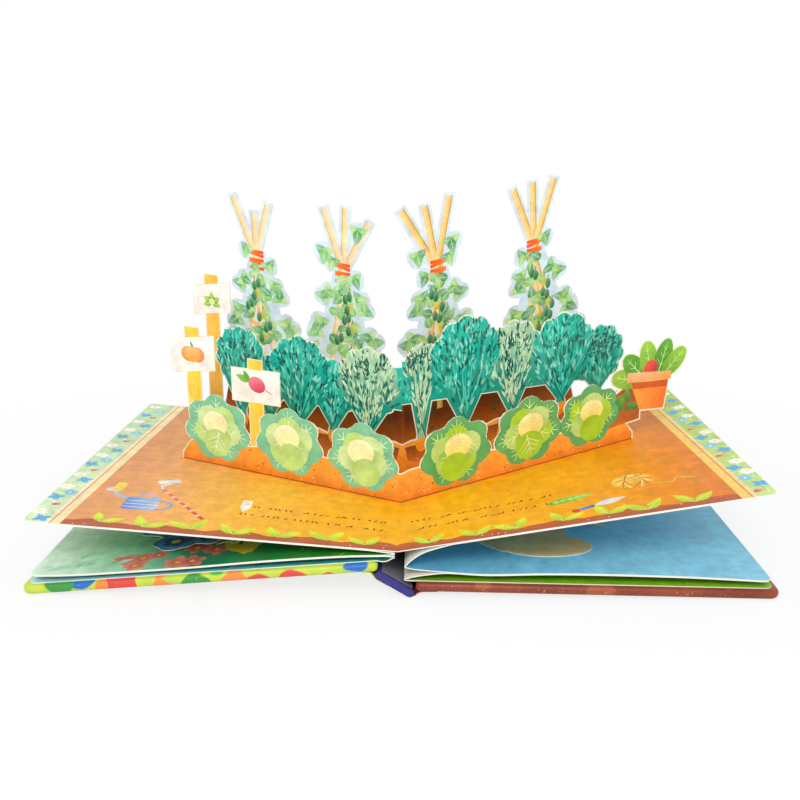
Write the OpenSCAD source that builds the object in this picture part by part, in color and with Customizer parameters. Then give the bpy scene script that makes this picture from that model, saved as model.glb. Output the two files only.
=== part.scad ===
/* [Case] */
// Half of the open book's width, from the gutter to a cover's fore-edge
half_w = 209.5; // [205:0.5:215]
// Height of the covers, from head to tail
cover_d = 268; // [264:1:276]
// Thickness of a padded cover board
board_t = 5.2; // [4.6:0.1:5.4]
// Corner radius of the covers, seen from above
cover_corner = 6; // [3:0.5:10]
// Edge radius of the padded covers
cover_edge = 2; // [1:0.1:2.2]
// Slope of the front cover as it lies open
front_tilt = 4.4; // [4.3:0.05:4.6]
// Slope of the back cover as it lies open
back_tilt = 1; // [0.9:0.05:1.1]
// Thickness of the spine board
spine_t = 4.6; // [4.2:0.1:4.7]

/* [Pages] */
// Width of a page, from the gutter to its fore-edge
page_w = 206.5; // [202:0.5:208]
// Height of a page
page_d = 262; // [256:1:264]
// Thickness of one printed sheet
sheet_t = 0.6; // [0.4:0.05:0.6]
// Corner radius of the pages
page_corner = 5; // [2:0.5:8]
// Height of the open gutter above the table
gutter_z = 26.4; // [26.2:0.1:27]
// Slope of the open left page
left_tilt = 4.68; // [4.5:0.02:5]
// Slope of the open right page
right_tilt = 9.57; // [9.3:0.01:9.8]

/* [Pop-ups] */
// Thickness of the die-cut card
card_t = 0.6; // [0.4:0.05:0.8]
// Angle that each wing of a standing row swings back
wing_angle = 20; // [18:0.5:22]
// Place of the front row's centre fold along the gutter
front_y = -54; // [-58:1:-50]
// Place of the middle row's centre fold along the gutter
middle_y = -4; // [-8:1:0]
// Place of the rear row's centre fold along the gutter
rear_y = 48; // [44:1:52]
// Depth of the glued tabs behind each row
tab_d = 8; // [5:0.5:10]
// Height of the front row's soil band above the page
front_band = 19; // [14:0.5:22]
// Length over which each soil band's top falls at its outer end
soil_tail = 14; // [8:1:20]
// Radius of the front row's leaf rosettes
rosette_r = 25; // [20:0.5:26]
// Height of the middle row's soil band above the page
middle_band = 27; // [24:0.5:30]
// Height of the rear row's soil band above the page
rear_band = 42; // [36:0.5:46]
// Height of the cane towers above the page
tower_h = 174; // [168:0.5:176]
// Height of the cane ties above the page
tie_h = 130; // [126:0.5:134]

/* [Hidden] */

glue_gap = 0.05;    // air between a glued piece and the sheet below it

// Hinge axes, in the section across the spine
front_hinge = [-13.4, 13];
back_hinge = [9.9, 2];
hinge_r = 0.9;
cover_stub = 2.6;   // how far the front cover reaches past its hinge
// Centres of the spine board's rounded long edges
spine_top = [-10.2, 12.6];
spine_low = [6.6, spine_t / 2];
lining_t = 0.4;
// Folds of the glued sheets, numbered from the front cover
fold_one = [-1.9, 22.7];
fold_two = [-1.6, 24.7];
fold_four = [4, 17.1];
fold_five = [3.7, 9.7];

function unit(v) = v / norm(v);
function left_of(v) = [-v[1], v[0]];
function before(p, i) = p[max(i - 1, 0)];
function after(p, i) = p[min(i + 1, len(p) - 1)];
function side_of(p, i) = left_of(unit(after(p, i) - before(p, i)));
// Outline of a strip of one thickness along a path
function strip_points(p, t) = concat(
    [for (i = [0:len(p) - 1]) p[i] + side_of(p, i) * t / 2],
    [for (i = [len(p) - 1:-1:0]) p[i] - side_of(p, i) * t / 2]);
// A path moved sideways, to its left where d is positive
function shifted(p, d) = [for (i = [0:len(p) - 1]) p[i] + side_of(p, i) * d];
// Smooth curve through chosen points
function spline(a, b, c, d, u) = 0.5 * ((2 * b) + (c - a) * u
    + (2 * a - 5 * b + 4 * c - d) * u * u + (3 * b - a - 3 * c + d) * u * u * u);
function smooth(p, n) = concat(
    [for (i = [0:len(p) - 2], k = [0:n - 1])
        spline(p[max(i - 1, 0)], p[i], p[i + 1], p[min(i + 2, len(p) - 1)], k / n)],
    [p[len(p) - 1]]);
// Corner points of a rounded rectangle that starts at x0 and is centred on y
function rounded(x0, x1, d, r, n = 6) = [for (c = [0:3], k = [0:n])
    let (a = 90 * c + 90 * k / n,
         cx = (c == 0 || c == 3) ? x1 - r : x0 + r,
         cy = (c < 2) ? d / 2 - r : r - d / 2)
    [cx + r * cos(a), cy + r * sin(a)]];
// Closed outline with n round lobes about a middle
function lobed(c, r, n, depth, turn = 0, squash = 1, steps = 6) =
    [for (k = [0:n * steps - 1])
        let (a = 360 * k / (n * steps), s = abs(cos(n * (a - turn) / 2)))
        [c[0] + r * (1 - depth * (1 - s)) * cos(a),
         c[1] + squash * r * (1 - depth * (1 - s)) * sin(a)]];
// Oval from its base, along a direction
function oval(p, a, l, w, n = 16) = let (d = [cos(a), sin(a)], s = left_of(d))
    [for (k = [0:n - 1]) let (t = 360 * k / n)
        p + d * l * (1 - cos(t)) / 2 + s * w / 2 * sin(t)];
// Pointed leaf from its stalk, along a direction
function leaf(p, a, l, w, n = 6) = let (d = [cos(a), sin(a)], s = left_of(d)) concat(
    [for (k = [0:n]) p + d * l * k / n + s * w / 2 * sin(180 * pow(k / n, 0.8))],
    [for (k = [n - 1:-1:1]) p + d * l * k / n - s * w / 2 * sin(180 * pow(k / n, 0.8))]);

// A shape drawn in the section across the spine, carried along the book's height
module along(d) {
    rotate([90, 0, 0])
        linear_extrude(height = d, center = true)
            children();
}
// A strip of sheet along a path in that section
module strip(p, t, d) {
    along(d)
        polygon(strip_points(p, t));
}
// A prism that stands on an outline seen from above
module plan(points) {
    linear_extrude(height = 100)
        polygon(points);
}

// One cover, drawn from its fore-edge at the left, with padded round edges
module board(l) {
    intersection() {
        along(cover_d)
            polygon([for (p = rounded(0, l, board_t, cover_edge, 4)) [p[0], p[1] + board_t / 2]]);
        translate([0, 0, -1])
            linear_extrude(height = board_t + 2)
                polygon(rounded(0, l + 2 * cover_corner, cover_d, cover_corner));
    }
}
front_edge_x = -half_w + board_t * sin(front_tilt);
back_edge_x = half_w - board_t * sin(back_tilt);
front_l = (front_hinge[0] + cover_stub - front_edge_x) / cos(front_tilt);
back_l = (back_edge_x - back_hinge[0]) / cos(back_tilt);
module on_front() {
    translate([front_edge_x, 0, 0])
        rotate([0, -front_tilt, 0])
            children();
}
module on_back() {
    translate([back_edge_x, 0, 0])
        rotate([0, back_tilt, 0])
            mirror([1, 0, 0])
                children();
}
module front_cover() {
    color([0.62, 0.78, 0.22])
        on_front()
            board(front_l);
}
module back_cover() {
    color([0.45, 0.2, 0.12])
        on_back()
            board(back_l);
}
// The end papers glued inside the covers
paste_inset = 3.2;
module pastedown(l) {
    translate([0, 0, board_t + glue_gap])
        linear_extrude(height = sheet_t)
            polygon(rounded(paste_inset, l - 0.5, page_d, page_corner));
}
module front_pastedown() {
    color([0.25, 0.72, 0.6])
        on_front()
            pastedown(front_l);
}
module back_pastedown() {
    color([0.55, 0.75, 0.15])
        on_back()
            pastedown(back_l);
}
// Spine board with rounded long edges
module spine_board() {
    l = norm(spine_low - spine_top);
    color([0.2, 0.18, 0.45])
        along(cover_d - 2)
            translate(spine_top)
                rotate(atan2(spine_low[1] - spine_top[1], spine_low[0] - spine_top[0]))
                    polygon(rounded(-spine_t / 2, l + spine_t / 2, spine_t, spine_t / 2 - 0.05, 8));
}
module spine_lining() {
    color([0.6, 0.6, 0.62])
        strip(shifted([spine_top, spine_low], (spine_t + lining_t) / 2 + glue_gap),
            lining_t, page_d);
}
// Rolls of cover paper in the two joints
module hinge_roll(p, d) {
    translate([p[0], 0, p[1]])
        rotate([90, 0, 0])
            cylinder(r = hinge_r, h = d, center = true, $fn = 32);
}
module front_hinge_strip() {
    color([0.85, 0.75, 0.2])
        hinge_roll(front_hinge, cover_d - 4);
}
module back_hinge_strip() {
    color([0.42, 0.2, 0.12])
        hinge_roll(back_hinge, cover_d - 4);
}

// Printed sheets, glued back to back into leaves and folded at the spine
page_top_l = [-cos(left_tilt), sin(left_tilt)];
page_top_r = [cos(right_tilt), sin(right_tilt)];
gutter = [0, gutter_z];
leaf_t = 2 * sheet_t;
split_l = 12;       // where the two sheets of the left leaf part
split_r = 26;       // where the two sheets of the right leaf part
inside = 0.02;      // how far a sheet starts inside its leaf's faces
// A point of the open spread: s from the gutter, d below the printed face
function on_left(s, d) = gutter + page_top_l * s + left_of(page_top_l) * d;
function on_right(s, d) = gutter + page_top_r * s - left_of(page_top_r) * d;
open_spread = [on_left(page_w, 0), gutter, on_right(page_w, 0), on_right(page_w, leaf_t),
    on_right(split_r, leaf_t), on_right(split_r, sheet_t), gutter - [0, sheet_t],
    on_left(split_l, sheet_t), on_left(split_l, leaf_t), on_left(page_w, leaf_t)];
leaf_a = smooth([[-205, 11.2], [-184, 11.6], [-162, 12.9], [-115, 16.6], [-75, 20.4],
    [-34, 23.4], [-12, 24.1]], 3);
leaf_d = smooth([[28, 14.4], [50, 13.2], [82, 13.9], [119, 13.6], [162, 12.4],
    [205, 10.2]], 3);
// Each closed spread: its fold, then the paths of its two pages away from the fold
fold_r = 0.6;
lap = 0.18;         // half the distance between the two sheets at a fold
turn_one = [[[-3, 22.3], [-6.2, 22]], [[-3, 23], [-8, 23.3], [-15, 23.2]]];
turn_two = [[[-3, 24.3], [-8, 23.9], [-15, 23.8]],
    [[-3, 25.3], [-8, 25.7], on_left(split_l + 3, 1.5 * sheet_t - inside)]];
turn_four = [[[4.5, 16.6], [8, 15.8], [15, 15.1], [31, 13.96]],
    [[4.6, 18], [7, 20.6], [12, 24.3], [18, 27], on_right(split_r + 4, 1.5 * sheet_t - inside)]];
turn_five = [[[4.6, 9.2], [7.6, 9.4]], [[4.6, 10.1], [9, 11.4], [18, 12.7], [31, 12.96]]];
module turn(fold, low, high) {
    along(page_d)
        polygon([for (k = [0:15]) fold + fold_r * [cos(22.5 * k + 9), sin(22.5 * k + 9)]]);
    strip(smooth(concat([fold - [0, lap]], low), 3), sheet_t, page_d);
    strip(smooth(concat([fold + [0, lap]], high), 3), sheet_t, page_d);
}
module pages() {
    color([0.95, 0.93, 0.88])
        intersection() {
            union() {
                along(page_d)
                    polygon(open_spread);
                strip(shifted(leaf_a, -sheet_t), leaf_t, page_d);
                strip(shifted(leaf_d, -sheet_t), leaf_t, page_d);
                turn(fold_one, turn_one[0], turn_one[1]);
                turn(fold_two, turn_two[0], turn_two[1]);
                turn(fold_four, turn_four[0], turn_four[1]);
                turn(fold_five, turn_five[0], turn_five[1]);
            }
            plan(rounded(-page_w, page_w, page_d, page_corner));
        }
}

// Height of the open page's surface at a distance s along a wing
function page_z(s, tilt) = gutter_z + glue_gap + s * cos(wing_angle) * tan(tilt);
// A wing outline point at distance s and height h above the page
function at(s, h, tilt) = [s, page_z(s, tilt) + h];
// One wing of a standing row: side is -1 on the left page and 1 on the right page
module wing(y, side) {
    translate([0, y, 0])
        rotate([0, 0, side * wing_angle])
            mirror([side < 0 ? 1 : 0, 0, 0])
                translate([0, card_t, 0])
                    rotate([90, 0, 0])
                        linear_extrude(height = card_t)
                            children();
}
// The glued tab behind a wing, lying on the page
module tab(y, side, tilt, s0, s1) {
    translate([0, 0, gutter_z + glue_gap])
        rotate([0, -side * tilt, 0])
            mirror([side < 0 ? 1 : 0, 0, 0])
                linear_extrude(height = card_t)
                    polygon([for (q = [[s0, 0.1], [s1, 0.1], [s1 - 4, tab_d], [s0 + 4, tab_d]])
                        [(q[0] * cos(wing_angle) - q[1] * sin(wing_angle)) / cos(tilt),
                         y + q[0] * sin(wing_angle) + q[1] * cos(wing_angle)]]);
}
// A soil band with a wavy top, from the centre fold out to s1
module soil(s1, h, tilt, waves, rise) {
    polygon(concat([at(-0.1, 0, tilt), at(s1, 0, tilt)],
        [for (k = [24:-1:0]) at(k / 24 * s1, h + rise * sin(waves * 360 * k / 24)
            - (h - 5) * pow(max(0, (k / 24 - 1) * s1 / soil_tail + 1), 2), tilt)],
        [at(-0.1, h, tilt)]));
}

// Front row: a soil band with three leaf rosettes on each wing
// Each rosette: distance along its wing, height above the page, size
left_rosettes = [[25.5, 25, 25], [77, 25.5, 25], [130, 25.5, 25.5]];
right_rosettes = [[37, 24, 25], [87, 25, 25], [131, 24, 23]];
module rosettes(list, tilt) {
    for (q = list)
        polygon(lobed(at(q[0], q[1], tilt), q[2] * rosette_r / 25, 7, 0.2, 38, 0.9));
}
pot_s = 174;
module pot(tilt) {
    polygon([at(pot_s - 7, 18, tilt), at(pot_s + 13, 15, tilt), at(pot_s + 15.5, 34, tilt),
        at(pot_s + 17.5, 34, tilt), at(pot_s + 17.5, 41, tilt), at(pot_s - 17, 47, tilt),
        at(pot_s - 17, 39, tilt), at(pot_s - 14, 38, tilt)]);
    for (k = [0:4])
        polygon(oval(at(pot_s - 6 + 4 * k, 38, tilt), 160 - 29 * k, 24 + 4 * sin(45 * k), 15));
    // the leafy stretch of band that carries the pot
    polygon([at(140, 10, tilt), at(pot_s - 5, 12, tilt), at(pot_s - 5, 26, tilt),
        at(160, 40, tilt), at(148, 34, tilt), at(138, 24, tilt)]);
}
module front_row() {
    color([0.55, 0.72, 0.3])
        union() {
            wing(front_y, -1)
                union() {
                    soil(158, front_band, left_tilt, 4, 1.5);
                    rosettes(left_rosettes, left_tilt);
                }
            wing(front_y, 1)
                union() {
                    soil(164, front_band, right_tilt, 4, 1.5);
                    rosettes(right_rosettes, right_tilt);
                    pot(right_tilt);
                }
            tab(front_y, -1, left_tilt, 6, 152);
            tab(front_y, 1, right_tilt, 6, 144);
        }
}

// Middle row: round bushes on short stems over a soil band
// Each bush: distance along its wing, height above the page, radius
left_bushes = [[24, 61, 23.5], [50, 54, 19], [75, 60, 25], [121, 65, 20.5], [99, 52, 17]];
right_bushes = [[14, 74, 13.8], [45, 73, 26], [80, 66, 22.5], [117, 61, 25], [146, 51, 20.5]];
module bushes(list, tilt) {
    for (q = list) {
        polygon(lobed(at(q[0], q[1], tilt), q[2], 11, 0.12, 90, 1.08, 5));
        // stems that flare from the root top up to the bush
        w = q[2] * 0.8;
        z = q[1] - q[2] * 0.45;
        polygon([at(q[0] - w, z, tilt), at(q[0] - 3.5, middle_band, tilt),
            at(q[0] - 5, middle_band - 6, tilt), at(q[0] + 5, middle_band - 6, tilt),
            at(q[0] + 3.5, middle_band, tilt), at(q[0] + w, z, tilt)]);
    }
}
// foliage that joins the bushes above the arches between their stems
module foliage(s1, low0, low1, high0, high1, tilt) {
    polygon([at(0, low0, tilt), at(s1, low1, tilt), at(s1, high1, tilt), at(0, high0, tilt)]);
}
module middle_row() {
    color([0.05, 0.55, 0.48])
        union() {
            wing(middle_y, -1)
                union() {
                    soil(146, middle_band - 4, left_tilt, 5, 1.5);
                    bushes(left_bushes, left_tilt);
                    foliage(105, 46, 44, 76, 56, left_tilt);
                }
            wing(middle_y, 1)
                union() {
                    soil(160, middle_band - 4, right_tilt, 5, 1.5);
                    bushes(right_bushes, right_tilt);
                    foliage(150, 50, 34, 80, 54, right_tilt);
                }
            tab(middle_y, -1, left_tilt, 6, 140);
            tab(middle_y, 1, right_tilt, 6, 154);
        }
}

// Rear row: four cane towers with climbing leaves over a soil band
// Each tower: distance along its wing, offset of its foot, height of the tie above tie_h,
// then its cane tops, beside the tower's middle and above tower_h
left_towers = [[46, 0, -2, [[-21.7, -9], [-3.1, -0.5], [14.5, -2.5]]],
    [115, -3, 0, [[-11, -4], [1, -10.5], [18.6, 0]]]];
right_towers = [[26, 2, 1, [[-28.5, 1.5], [-10.7, 2], [8.4, 6]]],
    [100, 10, 1, [[-18.5, 1.5], [-2.8, 4], [14.6, 4]]]];
// Leaf clusters above the ties, beside and above each tie, and their size
left_sprays = [[14, 11, 9], [-12, 27, 9]];
right_sprays = [[-15, 9, 8.5], [10, 15, 8.5]];
cane_w = 5;
cane_margin = 1.8;
climb_n = 11;
module cane(a, b) {
    polygon(strip_points([b, a], cane_w + 2 * cane_margin));
}
module tower(q, tilt) {
    tie = at(q[0], tie_h + q[2], tilt);
    foot = at(q[0] + q[1], 30, tilt);
    for (i = [0:2])
        cane(tie + [2 - 2 * i, -6], at(q[0] + q[3][i][0], tower_h + q[3][i][1], tilt));
    // the backing card below the tie, widening to the foot
    polygon([foot + [-24, 0], foot + [24, 0], foot + [24, 30], tie + [6, 4], tie + [-6, 4],
        foot + [-24, 30]]);
    // leaves climb the backing on alternate sides
    for (k = [0:climb_n - 1]) {
        u = k / (climb_n - 1);
        s = (k % 2 == 0) ? 1 : -1;
        p = tie * u + (foot + [0, 38]) * (1 - u) + [s * (22 - 17 * u), 0];
        polygon(lobed(p + [s * 3, 5 * sin(80 * k)], 9.4 - 2 * u, 3, 0.18, 40 * k, 1, 8));
    }
}
module sprays(q, list, tilt) {
    for (c = list)
        polygon(lobed(at(q[0] + c[0], tie_h + q[2] + c[1], tilt), c[2], 3, 0.18, 30, 1, 8));
}
module rear_row() {
    color([0.6, 0.78, 0.45])
        union() {
            wing(rear_y, -1)
                union() {
                    soil(150, rear_band, left_tilt, 3, 2);
                    for (q = left_towers)
                        tower(q, left_tilt);
                    sprays(left_towers[0], left_sprays, left_tilt);
                }
            wing(rear_y, 1)
                union() {
                    soil(138, rear_band, right_tilt, 3, 2);
                    for (q = right_towers)
                        tower(q, right_tilt);
                    sprays(right_towers[0], right_sprays, right_tilt);
                }
            tab(rear_y, -1, left_tilt, 6, 144);
            tab(rear_y, 1, right_tilt, 6, 132);
        }
}

// Signs: a card board on a stake, glued to the back of a row
stake_w = 11;
stake_top = 6.5;      // how far a stake shows above its board
module sign(y, s, h, w, d, foot_h, lean) {
    wing(y + (card_t + glue_gap) / cos(wing_angle), -1)
        union() {
            polygon([at(s - w / 2, h - d / 2 + lean, left_tilt),
                at(s + w / 2, h - d / 2 - lean, left_tilt),
                at(s + w / 2, h + d / 2 - lean, left_tilt),
                at(s - w / 2, h + d / 2 + lean, left_tilt)]);
            polygon([at(s - stake_w / 2, foot_h, left_tilt),
                at(s + stake_w / 2, foot_h, left_tilt),
                at(s + stake_w / 2, h + d / 2 + stake_top, left_tilt),
                at(s - stake_w / 2, h + d / 2 + stake_top, left_tilt)]);
        }
}
module tall_sign() {
    color([0.93, 0.8, 0.45])
        sign(middle_y, 142, 103, 30, 21, 6, 2.5);
}
module left_sign() {
    color([0.93, 0.8, 0.45])
        sign(front_y, 146, 73, 33, 23.5, 24, 2.7);
}
module front_sign() {
    color([0.93, 0.8, 0.45])
        sign(front_y, 100, 58.5, 35.5, 22.5, 4, 0.5);
}

// Pop-ups of the closed spreads: card folded flat between two leaves
fold_t = 0.5;
layer = 1.2;        // height of the upper folded card above the lower one
on_leaf_a = shifted(leaf_a, fold_t / 2 + glue_gap);
on_leaf_d = shifted(leaf_d, fold_t / 2 + glue_gap);
// Card on a curved leaf, cut to shapes drawn from above
module folded(path) {
    intersection() {
        strip(path, fold_t, page_d);
        linear_extrude(height = 100)
            union()
                children();
    }
}
module folded_blooms_two() {
    color([0.1, 0.3, 0.62])
        folded(shifted(on_leaf_a, layer)) {
            for (q = [[-131, -96, 13], [-112, -92, 11], [-146, -74, 11]])
                polygon(lobed([q[0], q[1]], q[2], 5, 0.15, 20 * q[2]));
            polygon([[-150, -80], [-130, -96], [-110, -92], [-60, -30], [-60, 0]]);
        }
}
module folded_leaves_two() {
    color([0.35, 0.66, 0.2])
        folded(on_leaf_a) {
            for (k = [0:4])
                polygon(leaf([-60, -60 + 4 * k], 222 + 9 * k, 62 - 3 * k, 15));
            polygon([[-30, -70], [-75, -75], [-80, -20], [-30, 0]]);
        }
}
module folded_card_four() {
    color([0.85, 0.68, 0.42])
        folded(on_leaf_d) {
            polygon(lobed([86, -92], 27, 2, 0, 0, 0.62, 20));
            polygon([[40, -80], [60, -100], [100, -84], [100, -40], [40, -20]]);
        }
}
module folded_tongue_four() {
    color([0.95, 0.75, 0.3])
        folded(shifted(on_leaf_d, layer))
            polygon(leaf([60, -10], -38, 84, 24, 10));
}
// Two layers of card pressed flat on an end paper
press_t = 1;
module pressed(x0, x1, d) {
    translate([0, 0, board_t + sheet_t + 2 * glue_gap])
        linear_extrude(height = press_t)
            polygon(rounded(x0, x1, d, 2 * cover_corner));
}
module folded_card_one() {
    color([0.2, 0.6, 0.75])
        on_front()
            pressed(60, 172, 150);
}
module folded_card_five() {
    color([0.3, 0.6, 0.3])
        on_back()
            pressed(58, 168, 160);
}

front_cover();
back_cover();
spine_board();
spine_lining();
front_hinge_strip();
back_hinge_strip();
front_pastedown();
back_pastedown();
pages();
front_row();
middle_row();
rear_row();
tall_sign();
left_sign();
front_sign();
folded_card_one();
folded_blooms_two();
folded_leaves_two();
folded_card_four();
folded_tongue_four();
folded_card_five();
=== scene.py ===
import math
import bpy
import numpy as np
from mathutils import Matrix, Vector
from mathutils.geometry import delaunay_2d_cdt


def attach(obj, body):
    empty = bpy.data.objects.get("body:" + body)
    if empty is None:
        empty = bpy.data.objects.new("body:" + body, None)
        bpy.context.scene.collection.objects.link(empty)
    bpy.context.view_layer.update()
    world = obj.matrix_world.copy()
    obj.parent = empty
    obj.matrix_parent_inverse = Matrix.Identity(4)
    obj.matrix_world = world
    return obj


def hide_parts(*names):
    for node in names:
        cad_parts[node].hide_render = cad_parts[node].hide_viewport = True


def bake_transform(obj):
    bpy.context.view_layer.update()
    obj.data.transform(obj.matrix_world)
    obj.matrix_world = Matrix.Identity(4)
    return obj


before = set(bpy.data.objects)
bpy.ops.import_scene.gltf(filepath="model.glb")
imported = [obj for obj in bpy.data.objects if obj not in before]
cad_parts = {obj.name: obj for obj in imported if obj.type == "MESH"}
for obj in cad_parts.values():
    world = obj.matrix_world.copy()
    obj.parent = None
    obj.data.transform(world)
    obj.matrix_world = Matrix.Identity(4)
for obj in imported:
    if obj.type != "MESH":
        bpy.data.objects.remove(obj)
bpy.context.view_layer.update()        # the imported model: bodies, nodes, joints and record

scene = bpy.context.scene
scene.view_settings.view_transform = "Standard"
rng = np.random.default_rng(41)

# The camera stands in front of the book's tail edge and looks a little down
view = dict(place=(0.0129, -0.6287, 0.2351), turn=-1.30, down=13.93, roll=-0.21, lens=43.893)


def addCamera(v):
    yaw, pitch, roll = (math.radians(v[k]) for k in ("turn", "down", "roll"))
    ahead = Vector((math.sin(yaw) * math.cos(pitch), math.cos(yaw) * math.cos(pitch), -math.sin(pitch)))
    right = Vector((math.cos(yaw), -math.sin(yaw), 0))
    up = right.cross(ahead)
    across = right * math.cos(roll) + up * math.sin(roll)
    above = up * math.cos(roll) - right * math.sin(roll)
    camera = bpy.data.objects.new("camera", bpy.data.cameras.new("camera"))
    camera.data.lens, camera.data.sensor_width = v["lens"], 36
    camera.data.clip_start = 0.01
    matrix = Matrix((across, above, -ahead)).transposed().to_4x4()
    matrix.translation = v["place"]
    camera.matrix_world = matrix
    scene.collection.objects.link(camera)
    scene.camera = camera


addCamera(view)
print("camera placed")


def ink(*rgb):
    # screen colour, 0 to 255, to the renderer's linear colour
    c = np.array(rgb, float) / 255
    return np.where(c <= 0.04045, c / 12.92, ((c + 0.055) / 1.055) ** 2.4)


def tint(c, k):
    # a colour mixed towards white where k is positive, towards black where it is negative
    return c + (1 - c) * k if k > 0 else c * (1 + k)


def heading(degrees):
    a = np.radians(degrees)
    return np.stack([np.cos(a), np.sin(a)], -1)


def leftOf(v):
    return np.stack([-v[..., 1], v[..., 0]], -1)


# Outlines. Each gives the points of one closed shape, in millimetres.
def lobedShape(c, r, n, depth, turn=0, squash=1, steps=6):
    # radius falls by depth between n round lobes: r(1 - depth(1 - |cos(n(a - turn)/2)|))
    a = 360 * np.arange(n * steps) / (n * steps)
    s = r * (1 - depth * (1 - np.abs(np.cos(np.radians(n * (a - turn) / 2)))))
    return np.array(c) + heading(a) * s[:, None] * [1, squash]


def ovalShape(p, a, l, w, n=16):
    # ellipse that starts at p and is l long along the heading a
    t = 2 * np.pi * np.arange(n) / n
    d = heading(a)
    return np.array(p) + d * (l * (1 - np.cos(t)) / 2)[:, None] + leftOf(d) * (w / 2 * np.sin(t))[:, None]


def leafShape(p, a, l, w, n=6, full=0.8, bend=0.0):
    # pointed leaf: half width w/2 sin(180 t^full), its midrib bent sideways by bend t^2
    t = np.arange(n + 1) / n
    d, side = heading(a), leftOf(heading(a))
    mid = np.array(p) + d * (l * t)[:, None] + side * (bend * t * t)[:, None]
    half = side * (w / 2 * np.sin(np.pi * t ** full))[:, None]
    return np.concatenate([mid + half, (mid - half)[-2:0:-1]])


def strokeShape(points, w0, w1=None):
    # band along points, its width running from w0 to w1
    p = np.array(points, float)
    d = np.gradient(p, axis=0)
    side = leftOf(d / np.linalg.norm(d, axis=1)[:, None])
    half = np.linspace(w0, w0 if w1 is None else w1, len(p))[:, None] / 2
    return np.concatenate([p + side * half, (p - side * half)[::-1]])


def boxShape(x0, y0, x1, y1, r=0.0, n=5):
    # rectangle with rounded corners
    if not r:
        return np.array([[x0, y0], [x1, y0], [x1, y1], [x0, y1]], float)
    a = np.concatenate([np.linspace(90 * k, 90 * k + 90, n) for k in range(4)])
    mid = np.repeat([[x1 - r, y1 - r], [x0 + r, y1 - r], [x0 + r, y0 + r], [x1 - r, y0 + r]], n, 0)
    return mid + heading(a) * r


def discShape(c, r, n=10, squash=1):
    return np.array(c) + heading(360 * np.arange(n) / n) * [r, r * squash]


def smoothPath(points, n=4):
    # Catmull-Rom curve through the points
    p = np.array(points, float)
    q = np.concatenate([p[:1], p, p[-1:]])
    u = (np.arange(n) / n)[None, :, None]
    a, b, c, d = (q[k:len(p) - 1 + k, None] for k in range(4))
    curve = 0.5 * (2 * b + (c - a) * u + (2 * a - 5 * b + 4 * c - d) * u ** 2
                   + (3 * b - a - 3 * c + d) * u ** 3)
    return np.concatenate([curve.reshape(-1, 2), p[-1:]])


def outlineTris(uv, edges):
    # the fewest triangles inside a set of outline edges, for the flat unprinted side of a card
    used, ends = np.unique(edges, return_inverse=True)
    out = delaunay_2d_cdt([Vector(v) for v in uv[used]], ends.reshape(-1, 2).tolist(), [], 0, 1e-7, True)
    source = np.array([ids[0] for ids in out[3]])
    tris, n = used[source[np.array(out[2])]], len(uv)
    ways, turned = tris * n + np.roll(tris, -1, 1), np.roll(tris, -1, 1) * n + tris
    outline = edges[:, 0] * n + edges[:, 1]
    outside = np.isin(turned, outline).any(1)
    free = ~(np.isin(ways, outline) | np.isin(turned, outline))
    ids = np.unique(np.minimum(ways, turned), return_inverse=True)[1].reshape(-1, 3)
    while True:                      # outside spreads across the edges that aren't outline
        crossed = np.bincount(ids[free & outside[:, None]], minlength=ids.max() + 1) > 0
        wider = outside | (crossed[ids] & free).any(1)
        if wider.sum() == outside.sum():
            return tris[~outside]
        outside = wider


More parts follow.
